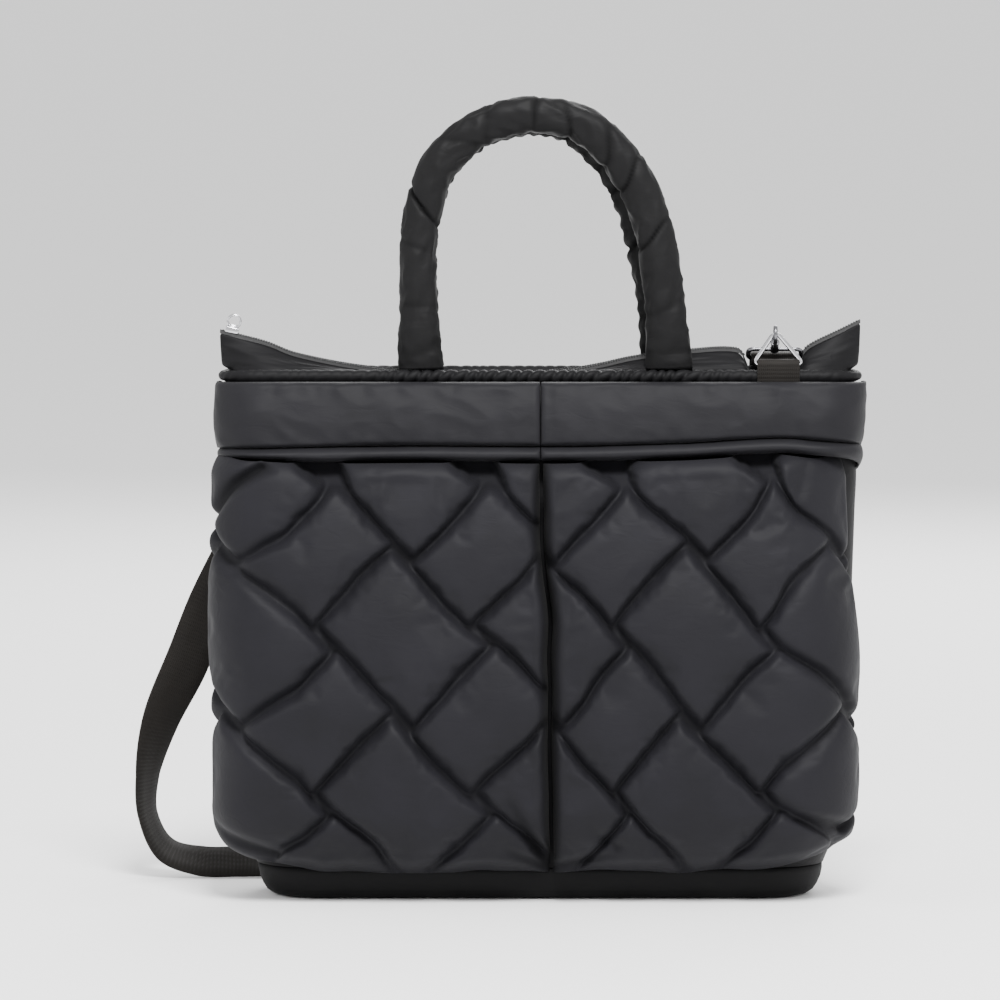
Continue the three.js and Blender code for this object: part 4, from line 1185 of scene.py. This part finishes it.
# on its way to the zip the panel goes along the bag early and across it late
EARLY_POWER = 0.07
LATE_POWER = 1.4


def zip_height(x):
    return along_table(ZIP_LINE, 1, x)


def zip_gap(x):
    return along_table(ZIP_LINE, 2, x)


def gusset_shape(seed):
    """Top panel from inside the rim up to the zip line."""

    def shape(s, t):
        share = 2 * s - 1
        x = share * ZIP_LINE_HALF
        foot = wall_point(share * (float(wall_length(WALL_TOP)) - SEAM_GAP), WALL_TOP, -GUSSET_INSET)
        shoulder_z = np.minimum(GUSSET_SHOULDER, zip_height(x) - 1)
        climb = np.clip(t * 3, 0, 1)
        lean = np.clip((t * 3 - 1) / 2, 0, 1)
        crest = np.stack([x, -zip_gap(x) - GUSSET_THICK, zip_height(x)], -1)
        shoulder = np.stack([foot[:, 0], foot[:, 1], shoulder_z], -1)
        low = np.stack([foot[:, 0], foot[:, 1], np.full_like(x, GUSSET_FOOT)], -1)
        points = low + (shoulder - low) * climb[:, None]
        ways = np.stack([lean**EARLY_POWER, lean**LATE_POWER, lean], -1)
        points = points + (crest - shoulder) * ways
        points[:, 1] -= np.sin(math.pi * lean) * GUSSET_WAVES * ripples_at(x * 0.035, 30 * t, seed)
        return points

    return shape


def back_gusset(s, t):
    """The other top panel, mirrored to the back with waves of its own."""
    return gusset_shape(8)(1 - s, t) * (1, -1, 1)


for label, panel_shape in (("front", gusset_shape(5)), ("back", back_gusset)):
    panel = shaped_cloth(f"top_panel_{label}", *PANEL_GRID, panel_shape)
    finish_cloth(panel, GUSSET_THICK, levels=1)
    dress(panel, [f"top_gusset_{label}"], "body_nylon")

# %% [markdown]
# ## Zip
# The zip is open along the middle, so each top panel carries one half: a narrow tape with a coil of
# small teeth on its edge. One tooth is modelled from a cube, with its edges bevelled, and copied
# along the line. The tape is a thin strip under them.

# %% Zip halves
TOOTH_PITCH = 1.7
TOOTH_SIZE = (1.0, 2.4, 0.9)
TOOTH_BEVEL = 0.3
TAPE_HEIGHT = 2.4
TAPE_LIFT = 0.3
TAPE_HALF_FOOT = 1.1
TAPE_HALF_TOP = 0.7
TAPE_STEPS = 180


def zip_tooth():
    """One tooth of the coil, 1 mm long, standing on the tape."""
    bpy.ops.object.select_all(action="DESELECT")
    bpy.ops.mesh.primitive_cube_add(size=1)
    tooth = bpy.context.object
    tooth.scale = [size * MM for size in TOOTH_SIZE]
    bpy.ops.object.transform_apply(location=False, rotation=False, scale=True)
    open_mesh()
    bpy.ops.mesh.bevel(offset=TOOTH_BEVEL * MM, segments=1, affect="EDGES")
    bpy.ops.object.mode_set(mode="OBJECT")
    return tooth


def zip_half(name, facing):
    """Tape and teeth along the zip line; facing is -1 on the front and 1 on the back."""
    tape_rings = []
    for x in np.linspace(-ZIP_LINE_HALF, ZIP_LINE_HALF, TAPE_STEPS + 1):
        middle = facing * (float(zip_gap(x)) + GUSSET_THICK / 2)
        low = float(zip_height(x)) + TAPE_LIFT
        tape_rings.append(np.array([
            (x, middle - TAPE_HALF_FOOT, low),
            (x, middle + TAPE_HALF_FOOT, low),
            (x, middle + TAPE_HALF_TOP, low + TAPE_HEIGHT),
            (x, middle - TAPE_HALF_TOP, low + TAPE_HEIGHT),
        ]))
    tape = closed_skin(name, tape_rings)
    first = zip_tooth()
    teeth = []
    for x in np.arange(-ZIP_LINE_HALF + 2, ZIP_LINE_HALF - 1, TOOTH_PITCH):
        tooth = first.copy()
        tooth.data = first.data.copy()
        bpy.context.scene.collection.objects.link(tooth)
        slope = math.atan2(float(zip_height(x + 1) - zip_height(x - 1)), 2)
        middle = facing * (float(zip_gap(x)) + GUSSET_THICK / 2)
        place = Vector((x, middle, float(zip_height(x)) + TAPE_LIFT + TAPE_HEIGHT)) * MM
        tooth.data.transform(Matrix.Translation(place) @ Matrix.Rotation(-slope, 4, "Y"))
        teeth.append(tooth)
    bpy.data.objects.remove(first)
    only(tape)
    for tooth in teeth:
        tooth.select_set(True)
    bpy.ops.object.join()
    bpy.ops.object.shade_flat()
    return tape


dress(zip_half("zip_front", -1), ["zip_tape_front"], "zip_teeth")
dress(zip_half("zip_back", 1), ["zip_tape_back"], "zip_teeth")

# %% [markdown]
# The slider is parked at the left ear. Its body is a cube with bevelled edges and a saddle on top,
# made by extruding its upper face. A small wire ring hangs in the saddle as the pull.

# %% Zip slider
SLIDER_X = -205
SLIDER_SIZE = (9, 8, 4)
SLIDER_BEVEL = 0.6
SADDLE_INSET = 2.2
SADDLE_HEIGHT = 1.6
PULL_RADIUS = 4.2
PULL_WIRE = 0.9

bpy.ops.object.select_all(action="DESELECT")
bpy.ops.mesh.primitive_cube_add(size=1)
slider = bpy.context.object
slider.name = "zip_slider_shaped"
slider.scale = [size * MM for size in SLIDER_SIZE]
bpy.ops.object.transform_apply(location=False, rotation=False, scale=True)
bpy.ops.object.mode_set(mode="EDIT")
bpy.ops.mesh.select_all(action="DESELECT")
bpy.ops.object.mode_set(mode="OBJECT")
for face in slider.data.polygons:
    face.select = face.normal.z > 0.9
bpy.ops.object.mode_set(mode="EDIT")
bpy.ops.mesh.inset(thickness=SADDLE_INSET * MM, depth=0)
bpy.ops.mesh.extrude_region_move(TRANSFORM_OT_translate={"value": (0, 0, SADDLE_HEIGHT * MM)})
bpy.ops.mesh.select_all(action="SELECT")
bpy.ops.mesh.bevel(offset=SLIDER_BEVEL * MM, segments=3, affect="EDGES")
bpy.ops.object.mode_set(mode="OBJECT")
pull_height = SLIDER_SIZE[2] / 2 + PULL_RADIUS - PULL_WIRE / 2
bpy.ops.mesh.primitive_torus_add(
    major_radius=PULL_RADIUS * MM, minor_radius=PULL_WIRE * MM, major_segments=40, minor_segments=12,
    location=(0, 0, pull_height * MM), rotation=(math.pi / 2, 0, 0))
pull = bpy.context.object
bpy.ops.object.transform_apply(location=True, rotation=True, scale=True)
only(slider)
pull.select_set(True)
bpy.ops.object.join()
slider_half = SLIDER_SIZE[0] / 2
slider_climb = float(zip_height(SLIDER_X + slider_half) - zip_height(SLIDER_X - slider_half))
slider_slope = math.atan2(slider_climb, SLIDER_SIZE[0])
slider_z = float(zip_height(SLIDER_X)) + TAPE_HEIGHT + SLIDER_SIZE[2] / 2
slider_place = Vector((SLIDER_X, 0, slider_z)) * MM
slider.data.transform(Matrix.Translation(slider_place) @ Matrix.Rotation(-slider_slope, 4, "Y"))
bpy.ops.object.shade_smooth_by_angle(angle=math.radians(40))
dress(slider, ["zip_slider"], "bright_steel")

# %% [markdown]
# ## Handles
# The two handles are stuffed tubes of nylon. Where such a tube bends, its skin buckles into
# creases, one of them deep and slanting on the left shoulder. A curve with a bevel would give an
# even hose, so the tube is built ring by ring along its middle line, and each crease is a dip that
# crosses the rings at its own slant. Between the creases the skin is finely crumpled. The rear
# handle is a little lower, and its inner edge is gathered by the stitching.

# %% Handle tubes
HANDLE_FOOT = BINDING_Z + BINDING_RADIUS + 0.6
HANDLE_ROUTE = [
    # x, height, width seen from the front, depth, distance from the middle of the bag
    (-79, HANDLE_FOOT, 30, 14, 19.5),
    (-80.5, 384, 26.5, 19, 19.5),
    (-81, 424, 24.5, 21, 18.5),
    (-78, 455, 25, 21, 17.5),
    (-67, 486, 25, 21, 17),
    (-41, 509.5, 24.5, 21, 16.5),
    (-7, 519.5, 24.5, 21, 16.5),
    (30, 511.5, 25, 21, 16.5),
    (57, 484.5, 26, 21, 17),
    (71, 456, 26, 21, 17.5),
    (78.5, 426, 26, 21, 18.5),
    (83, 390, 27.5, 19, 19.5),
    (85.5, HANDLE_FOOT, 31, 14, 19.5),
]
REAR_LOWER = 0.984
REAR_NARROWER = 0.96
REAR_SHIFT = 4
SHIFT_SPAN = (20, 60)
CREASES = [
    # x, height, slant in mm from the middle to the outer edge, depth, half width
    (-80, 362, -2, 0.5, 3.2),
    (-80, 393, 3, 0.7, 2.6),
    (-76, 431, 6, 0.8, 2.4),
    (-77, 457, 12, 2.8, 1.8),
    (-52, 503, -9, 1.1, 2.4),
    (-36, 512, 8, 0.9, 2.8),
    (-4, 519, 3, 1.4, 1.8),
    (19, 517, -4, 1.5, 2.0),
    (45, 498, -9, 1.5, 2.6),
    (60, 481, -7, 1.8, 2.0),
    (75, 441, -8, 2.0, 2.0),
    (81, 391, -3, 0.8, 2.8),
    (84, 362, 2, 0.5, 3.0),
]
# way round the tube on which a crease is deepest: creases that slant down or up
CREASE_FACES = (math.radians(225), math.radians(315))
CREASE_SKEW = 1.5
# share of a crease's depth on the far side of the tube
FAR_CREASE = 0.45
# the dip of a crease at which its painted shade is full, and how fast that shade grows
FULL_SHADE_DIP = 1.8
SHADE_POWER = 1.3
# how far the tube bulges and crumples, and the level from which the crumples go in and out
LUMP = 0.9
CRUMPLE = 2.6
CRUMPLE_LEVEL = 0.22
LUMP_WAVE = 0.035
CRUMPLE_WAVE = 0.075
# the ends stay smooth over this length, where they are sewn to the rim
SMOOTH_END = 6
# the gathers inside the rear tube: their depth, their pitch and how slowly that drifts
GATHER_IN = 0.55
GATHER_PITCH = 11
GATHER_DRIFT = 37
TUBE_STEPS = 300
TUBE_SIDES = 36


def smooth_route(points, shares):
    """Places on a smooth curve through the points; the shares run from 0 to 1."""
    points = np.asarray(points, float)
    spans = len(points) - 1
    run = np.vstack([2 * points[0] - points[1], points, 2 * points[-1] - points[-2]])
    places = []
    for share in shares:
        k = min(int(share * spans), spans - 1)
        t = share * spans - k
        p0, p1, p2, p3 = run[k : k + 4]
        d0, d1, d2 = (math.sqrt(np.linalg.norm(b - a)) for a, b in ((p0, p1), (p1, p2), (p2, p3)))
        out_of = ((p1 - p0) / d0 - (p2 - p0) / (d0 + d1) + (p2 - p1) / d1) * d1
        into = ((p2 - p1) / d1 - (p3 - p1) / (d1 + d2) + (p3 - p2) / d2) * d1
        blend = t * t * (3 - 2 * t)
        bend = t * (1 - t) * ((1 - t) * out_of - t * into)
        places.append(p1 * (1 - blend) + p2 * blend + bend)
    return np.array(places)


def unit_rows(rows):
    """The rows as directions of length 1."""
    return rows / np.linalg.norm(rows, axis=1, keepdims=True)


def way_along(points):
    """Length of the line through the points up to each of them."""
    return np.concatenate([[0], np.cumsum(np.linalg.norm(np.diff(points, axis=0), axis=1))])


def tube_swell(way, angle, rear):
    """How far lumps and crumples move the skin out, round the tube at one place along it."""
    swell = []
    for a in angle:
        c = math.cos(a)
        s = math.sin(a) + 9 * rear
        lump = noise.noise(Vector((way * LUMP_WAVE, c, s)))
        fold = abs(noise.noise(Vector((way * CRUMPLE_WAVE + 0.9 * c, 1.5 * c, 1.5 * s + 5))))
        swell.append(LUMP * lump + CRUMPLE * (CRUMPLE_LEVEL - fold))
    return np.array(swell)


def handle_tube(name, rear):
    """Stuffed tube along the handle's route, with its creases."""
    rows = np.array(HANDLE_ROUTE, float)
    x = np.where(rear & (rows[:, 0] > 0), rows[:, 0] * REAR_NARROWER, rows[:, 0])
    z = HANDLE_FOOT + (rows[:, 1] - HANDLE_FOOT) * (REAR_LOWER if rear else 1)
    x = x - rear * (x > 0) * REAR_SHIFT * ramp(z - HANDLE_FOOT, SHIFT_SPAN)
    y = rows[:, 4] * (1 if rear else -1)
    shares = np.linspace(0, 1, TUBE_STEPS + 1)
    middle = smooth_route(np.stack([x, y, z], -1), shares)
    steps = [(k, row[2], row[3]) for k, row in enumerate(HANDLE_ROUTE)]
    width = along_table(steps, 1, shares * (len(rows) - 1))
    depth = along_table(steps, 2, shares * (len(rows) - 1))
    way = way_along(middle)
    along = np.gradient(middle, axis=0)
    along[0] = (0, 0, 1)
    along[-1] = (0, 0, -1)
    across = unit_rows(np.cross(unit_rows(along), (0, 1, 0)))
    angle = np.arange(TUBE_SIDES) / TUBE_SIDES * math.tau
    outward = np.cos(angle)
    soft = rise(way, SMOOTH_END) * rise(way[-1] - way, SMOOTH_END)
    rings = []
    dips = []
    for k in range(TUBE_STEPS + 1):
        dip = np.zeros(TUBE_SIDES)
        for crease_x, crease_z, slant, deep, half_width in CREASES:
            near = np.argmin(np.hypot(middle[:, 0] - crease_x, middle[:, 2] - crease_z))
            gap = way[k] - way[near] - slant * outward - CREASE_SKEW * np.sin(2 * angle)
            facing = rise(np.cos(angle - CREASE_FACES[slant > 0]) + 0.4, 1.2)
            part = FAR_CREASE + (1 - FAR_CREASE) * facing
            dip = dip + deep * part * np.exp(-((gap / half_width) ** 2))
        if rear:
            gathers = math.sin(way[k] / GATHER_PITCH * math.tau + 2.2 * math.sin(way[k] / GATHER_DRIFT))
            dip = dip + GATHER_IN * (1 + gathers) * rise(-outward - 0.3, 0.6)
        swell = soft[k] * (tube_swell(way[k], angle, rear) - dip)
        ring = middle[k] + np.outer((width[k] / 2 + swell) * outward, across[k])
        ring[:, 1] += (depth[k] / 2 + swell) * np.sin(angle)
        rings.append(ring)
        dips.append(dip)
    print(name, "is", round(float(way[-1])), "mm long")
    tube = closed_skin(name, rings)
    # painted shade: the creases and gathers get a darker colour by how deep they dip
    add_valley_shade(tube, np.clip(np.concatenate(dips) / FULL_SHADE_DIP, 0, 1) ** SHADE_POWER)
    return tube


dress(handle_tube("handle_front_tube", False), ["handle_front"], "handle_nylon")
dress(handle_tube("handle_rear_tube", True), ["handle_rear"], "handle_nylon")

# %% [markdown]
# ## Rings, tabs and hooks
# The strap clips to two triangular rings of bent wire, each held in a folded tab of webbing. One
# stands up at the right of the front rim, the other hangs at the left of the back. The same shapes
# are used twice, so each is modelled once in a local frame: the ring in its own plane, the tab
# round the ring's bar, and the hook with the strap's pull along its own Y.

# %% Where the two ends of the strap sit
RING_WIRE = 1.5
RING_HALF_BASE = 17
RING_RISE = 22.5
RING_APEX_SHIFT = -2
RING_BEND = 5.28
RING_TIP = 20.9
TAB_THICK = 2
TAB_ROOM = 0.4
TAB_WIDTH = 28
TAB_LEG = 17
TAB_TAIL = 2.6
RIGHT_BAR = Vector((157.5, -28.3, 354.5))
LEFT_BAR_X = -150
LEFT_BAR_Z = 320
LEFT_STAND = 5.6
# two heights on the back wall between which its slope is taken
BACK_HIGH = 340
BACK_LOW = 250
RIGHT_HOOK_DIP = math.radians(41)
LEFT_RING_LIFT = math.radians(14)
LEFT_HOOK_SWING = math.radians(31)
HOOK_REACH = 27
RIGHT_WAY = Vector((1, 0, 0))
UP_WAY = Vector((0, 0, 1))
BACK_WAY = Vector((0, 1, 0))


def local_frame(x_way, y_way, origin):
    """Matrix that puts a local shape, in metres, at this place of the bag."""
    z_way = x_way.cross(y_way)
    turn = Matrix((x_way, y_way, z_way)).transposed().to_4x4()
    return Matrix.Translation(origin * MM) @ turn


def right_end():
    apex = RIGHT_BAR + RIGHT_WAY * RING_APEX_SHIFT + UP_WAY * RING_TIP
    pull = Matrix.Rotation(-RIGHT_HOOK_DIP, 3, RIGHT_WAY) @ BACK_WAY
    return {
        "tab": local_frame(-BACK_WAY, UP_WAY, RIGHT_BAR),
        "ring": local_frame(RIGHT_WAY, UP_WAY, RIGHT_BAR),
        "hook": local_frame(RIGHT_WAY, pull, apex),
        "strap_bar": apex + pull * HOOK_REACH,
        "strap_way": BACK_WAY,
        "strap_across": RIGHT_WAY,
    }


def left_end():
    high = -float(wall_point(0, BACK_HIGH, 0)[1])
    low = -float(wall_point(0, BACK_LOW, 0)[1])
    slope = (low - high) / (BACK_HIGH - BACK_LOW)
    down = Vector((0, slope, -1)).normalized()
    out = RIGHT_WAY.cross(down)
    bar = Vector((LEFT_BAR_X, high + slope * (BACK_HIGH - LEFT_BAR_Z), LEFT_BAR_Z)) + out * LEFT_STAND
    swing = Matrix.Rotation(LEFT_HOOK_SWING, 3, out)
    pull = swing @ down
    across = swing @ RIGHT_WAY
    ring_way = Matrix.Rotation(LEFT_RING_LIFT, 3, across) @ pull
    apex = bar + across * RING_APEX_SHIFT + ring_way * RING_TIP
    return {
        "tab": local_frame(-out, pull, bar),
        "ring": local_frame(across, ring_way, bar),
        "hook": local_frame(across, pull, apex),
        "strap_bar": apex + pull * HOOK_REACH,
        "strap_way": pull,
        "strap_across": across,
    }


STRAP_ENDS = {"left": left_end(), "right": right_end()}
for label, end in STRAP_ENDS.items():
    print("Strap bar on the", label, "at", tuple(round(c) for c in end["strap_bar"]))

# %% [markdown]
# Bent wire is made as a maker would bend it: a closed outline with few corners, the corners rounded
# by a bevel, and the outline then given the wire's thickness as a curve. The curve is turned into a
# mesh at the end.

# %% Rings of bent wire
RING_CORNERS = [(-RING_HALF_BASE, 0), (RING_HALF_BASE, 0), (RING_APEX_SHIFT, RING_RISE)]


def bent_wire(name, corners, bend, wire):
    """Closed loop of round wire through flat corners, in the local XY plane, in millimetres."""
    bpy.ops.object.select_all(action="DESELECT")
    bpy.ops.mesh.primitive_circle_add(vertices=len(corners), fill_type="NOTHING")
    loop = bpy.context.object
    loop.name = name
    move_points(loop, np.array([(x, y, 0) for x, y in corners]) * MM)
    open_mesh()
    bpy.ops.mesh.bevel(offset=bend * MM, segments=8, affect="VERTICES")
    bpy.ops.object.mode_set(mode="OBJECT")
    bpy.ops.object.convert(target="CURVE")
    loop.data.bevel_depth = wire * MM
    loop.data.bevel_resolution = 5
    bpy.ops.object.convert(target="MESH")
    loop = bpy.context.object
    open_mesh()
    bpy.ops.mesh.remove_doubles(threshold=0.02 * MM)
    bpy.ops.mesh.normals_make_consistent(inside=False)
    bpy.ops.object.mode_set(mode="OBJECT")
    bpy.ops.object.shade_smooth()
    return loop


for label, end in STRAP_ENDS.items():
    ring = bent_wire(f"strap_ring_{label}_wire", RING_CORNERS, RING_BEND, RING_WIRE)
    ring.data.transform(end["ring"])
    dress(ring, [f"strap_ring_{label}"], "bright_steel")

# %% [markdown]
# A tab is a short piece of webbing folded over the ring's bar, its long leg sewn to the bag. Its
# outline in the side view is drawn once and carried across the width.

# %% Webbing tabs
WEBBING_CREASE = math.radians(50)


def webbing_uv(piece, length_of, across_of):
    """UV map of a webbing piece in metres, from each vertex's way along and across it."""
    uv = piece.data.uv_layers.new(name="webbing")
    corner = np.empty(len(piece.data.loops), np.int32)
    piece.data.loops.foreach_get("vertex_index", corner)
    places = np.stack([length_of[corner], across_of[corner]], -1)
    uv.data.foreach_set("uv", places.ravel().astype(np.float32))


def webbing_skin(name, rings, path, section):
    """Skin over rings of one section along a path, with the webbing's UV map."""
    skin = closed_skin(name, rings)
    across = np.tile([place for place, _ in section], len(path))
    webbing_uv(skin, np.repeat(way_along(path), len(section)) * MM, across * MM)
    bpy.ops.object.shade_smooth_by_angle(angle=WEBBING_CREASE)
    return skin


def webbing_tab(name):
    """Tab round the ring's bar: local Z is the bar, local X the side of the long leg."""
    inner = RING_WIRE + TAB_ROOM
    middle = inner + TAB_THICK / 2
    path = [(middle, -TAB_LEG), (middle, -TAB_LEG / 2), (middle, -1)]
    path += [(middle * math.cos(a), middle * math.sin(a)) for a in np.linspace(0, math.pi, 15)]
    path += [(-middle, -1), (-middle, -TAB_TAIL)]
    path = np.array(path)
    along = unit_rows(np.gradient(path, axis=0))
    side = np.stack([-along[:, 1], along[:, 0]], -1)
    half = TAB_WIDTH / 2
    outline = [(-half, -0.6), (-half + 0.5, -1), (half - 0.5, -1), (half, -0.6),
               (half, 0.6), (half - 0.5, 1), (-half + 0.5, 1), (-half, 0.6)]
    rings = []
    for point, out in zip(path, side):
        half_out = out * TAB_THICK / 2
        rings.append(np.array([(*(point + half_out * stand), place) for place, stand in outline]))
    return webbing_skin(name, rings, path, outline)


for label, end in STRAP_ENDS.items():
    tab = webbing_tab(f"ring_tab_{label}_webbing")
    tab.data.transform(end["tab"])
    dress(tab, [f"ring_tab_{label}"], "webbing")

# %% [markdown]
# The hook is grey metal: a long loop that grips the ring, a short swivel barrel and a flat eye that
# carries the strap. The barrel starts as a cylinder and gets a groove round its middle and soft
# edges. The pieces overlap where they would be riveted, and are joined to one object.

# %% Strap hooks
HOOK_WIRE = 1.4
HOOK_LOOP_TALL = 9
HOOK_LOOP_END = 11
BARREL_START = 9.5
BARREL_END = 18
BARREL_RADIUS = 3.2
EYE_WIRE = 1.5
EYE_HALF = 17.5
EYE_START = 17
EYE_BEND = 3.5
# free room between hook and ring
HOOK_ROOM = 0.8
# groove of the barrel: where it is, half its width, and the share of the barrel that it leaves
GROOVE_AT = 13
GROOVE_HALF = 0.9
GROOVE_THIN = 0.8


def strap_hook(name):
    """Hook in its local frame: local Y is the pull, local X the eye's bar, the grip lies in local YZ."""
    start = -(RING_WIRE + HOOK_ROOM + HOOK_WIRE)
    tall = HOOK_LOOP_TALL / 2
    loop = [(start, -tall), (HOOK_LOOP_END, -tall), (HOOK_LOOP_END, tall), (start, tall)]
    grip = bent_wire(name, loop, tall - 0.2, HOOK_WIRE)
    grip.data.transform(Matrix(((0, 0, 1, 0), (1, 0, 0, 0), (0, 1, 0, 0), (0, 0, 0, 1))))
    bpy.ops.object.select_all(action="DESELECT")
    bpy.ops.mesh.primitive_cylinder_add(
        vertices=32, radius=BARREL_RADIUS * MM, depth=(BARREL_END - BARREL_START) * MM,
        location=(0, (BARREL_START + BARREL_END) / 2 * MM, 0), rotation=(math.pi / 2, 0, 0))
    barrel = bpy.context.object
    bpy.ops.object.transform_apply(location=True, rotation=True, scale=True)
    open_mesh()
    bpy.ops.mesh.bisect(plane_co=(0, GROOVE_AT * MM, 0), plane_no=(0, 1, 0))
    bpy.ops.mesh.bevel(offset=GROOVE_HALF * MM, segments=1, affect="EDGES")
    bpy.ops.transform.resize(value=(GROOVE_THIN, 1, GROOVE_THIN))
    bpy.ops.object.mode_set(mode="OBJECT")
    soften = barrel.modifiers.new("Soft edges", "BEVEL")
    soften.width = 0.4 * MM
    soften.segments = 2
    bpy.ops.object.modifier_apply(modifier=soften.name)
    frame_corners = [(-EYE_HALF, EYE_START), (EYE_HALF, EYE_START),
                     (EYE_HALF, HOOK_REACH), (-EYE_HALF, HOOK_REACH)]
    eye = bent_wire("eye", frame_corners, EYE_BEND, EYE_WIRE)
    only(grip)
    barrel.select_set(True)
    eye.select_set(True)
    bpy.ops.object.join()
    bpy.ops.object.shade_smooth_by_angle(angle=math.radians(40))
    return grip


for label, end in STRAP_ENDS.items():
    hook = strap_hook(f"strap_hook_{label}_shaped")
    hook.data.transform(end["hook"])
    dress(hook, [f"strap_hook_{label}"], "dark_steel")

# %% [markdown]
# ## Shoulder strap
# The strap is flat ribbed webbing. It hangs from the left hook behind the bag, turns on its edge,
# lies along the floor behind the bag and climbs to the right hook. A simulation would take a long
# time to find that lie, so its route is given point by point, with the lean of the webbing at each,
# and a thin rounded section is carried along it. Each end is folded round its hook.

# %% Strap
STRAP_WIDTH = 30
STRAP_THICK = 2
STRAP_TAIL = 24
STRAP_ROUTE = [
    # x, y, height, lean in degrees: 0 faces the front, 90 lies flat on the floor
    (-200, 58, 234, 0),
    (-223, 63, 187, 0),
    (-239, 66, 147, 6),
    (-257, 68, 107, 36),
    (-266, 69, 70, 62),
    (-266, 70, 42, 70),
    (-254, 71, 18.5, 64),
    (-230, 72, 10.4, 56),
    (-200, 73, 10, 55),
    (-165, 73, 8.4, 64),
    (-110, 72, 2.9, 86),
    (-40, 71, 1.8, 90),
    (30, 71, 2.4, 88),
    (80, 72, 9, 74),
    (115, 73, 34, 48),
    (138, 73, 80, 20),
    (150, 71, 140, 4),
    (155, 66, 200, 0),
    (155.5, 56, 255, 0),
    (155.5, 47, 305, 0),
    (155.5, 41, 334, 0),
    (155.5, 35.5, 351, 0),
    (155.5, 27, 359, 0),
]
STRAP_STEPS = 12
# free room between strap and bar, and between the strap and its folded tail
FOLD_ROOM = 0.4


def strap_fold(end):
    """Points and cross ways of a strap end folded round its hook's bar, from the tail to the strap."""
    out = end["strap_across"].cross(end["strap_way"])
    reach = EYE_WIRE + FOLD_ROOM + STRAP_THICK / 2
    tail_stand = reach - STRAP_THICK - FOLD_ROOM
    turns = [(-reach * math.sin(a), -reach * math.cos(a)) for a in np.linspace(0, math.pi, 5)]
    places = [(STRAP_TAIL, tail_stand), (STRAP_TAIL / 2, tail_stand), (4, -reach * 0.8)] + turns
    places += [(STRAP_TAIL / 2, reach), (STRAP_TAIL, reach)]
    points = [end["strap_bar"] + end["strap_way"] * way + out * stand for way, stand in places]
    return [(point, end["strap_across"]) for point in points]


def strap_rows():
    """Points of the strap's middle line and its cross way at each."""
    spots = [Vector(row[:3]) for row in STRAP_ROUTE]
    rows = []
    for k, row in enumerate(STRAP_ROUTE):
        along = (spots[min(k + 1, len(spots) - 1)] - spots[max(k - 1, 0)]).normalized()
        depth_way = (BACK_WAY - along * BACK_WAY.dot(along)).normalized()
        lean = math.radians(row[3])
        rows.append((spots[k], along.cross(depth_way) * math.cos(lean) + depth_way * math.sin(lean)))
    arrival = [(point, -across) for point, across in reversed(strap_fold(STRAP_ENDS["right"]))]
    return strap_fold(STRAP_ENDS["left"]) + rows + arrival


rows = strap_rows()
strap_shares = np.linspace(0, 1, STRAP_STEPS * (len(rows) - 1) + 1)
strap_middle = smooth_route([tuple(point) for point, _ in rows], strap_shares)
strap_along = unit_rows(np.gradient(strap_middle, axis=0))
row_numbers = strap_shares * (len(rows) - 1)
cross_ways = np.array([tuple(across) for _, across in rows])
strap_across = np.stack([np.interp(row_numbers, range(len(rows)), way) for way in cross_ways.T], -1)
strap_across -= strap_along * np.sum(strap_across * strap_along, axis=1, keepdims=True)
strap_across = unit_rows(strap_across)
strap_face = np.cross(strap_along, strap_across)
half = STRAP_WIDTH / 2
SECTION = [(-half, -0.5), (-half + 0.6, -1), (-5, -0.9), (5, -0.9), (half - 0.6, -1), (half, -0.5),
           (half, 0.5), (half - 0.6, 1), (5, 0.9), (-5, 0.9), (-half + 0.6, 1), (-half, 0.5)]
strap_rings = []
for k in range(len(strap_middle)):
    half_face = strap_face[k] * STRAP_THICK / 2
    ring = [strap_middle[k] + strap_across[k] * place + half_face * stand for place, stand in SECTION]
    strap_rings.append(np.array(ring))
strap = webbing_skin("shoulder_strap_webbing", strap_rings, strap_middle, SECTION)
dress(strap, ["shoulder_strap"], "webbing")
print("Strap with its folded ends:", round(float(way_along(strap_middle)[-1])), "mm")
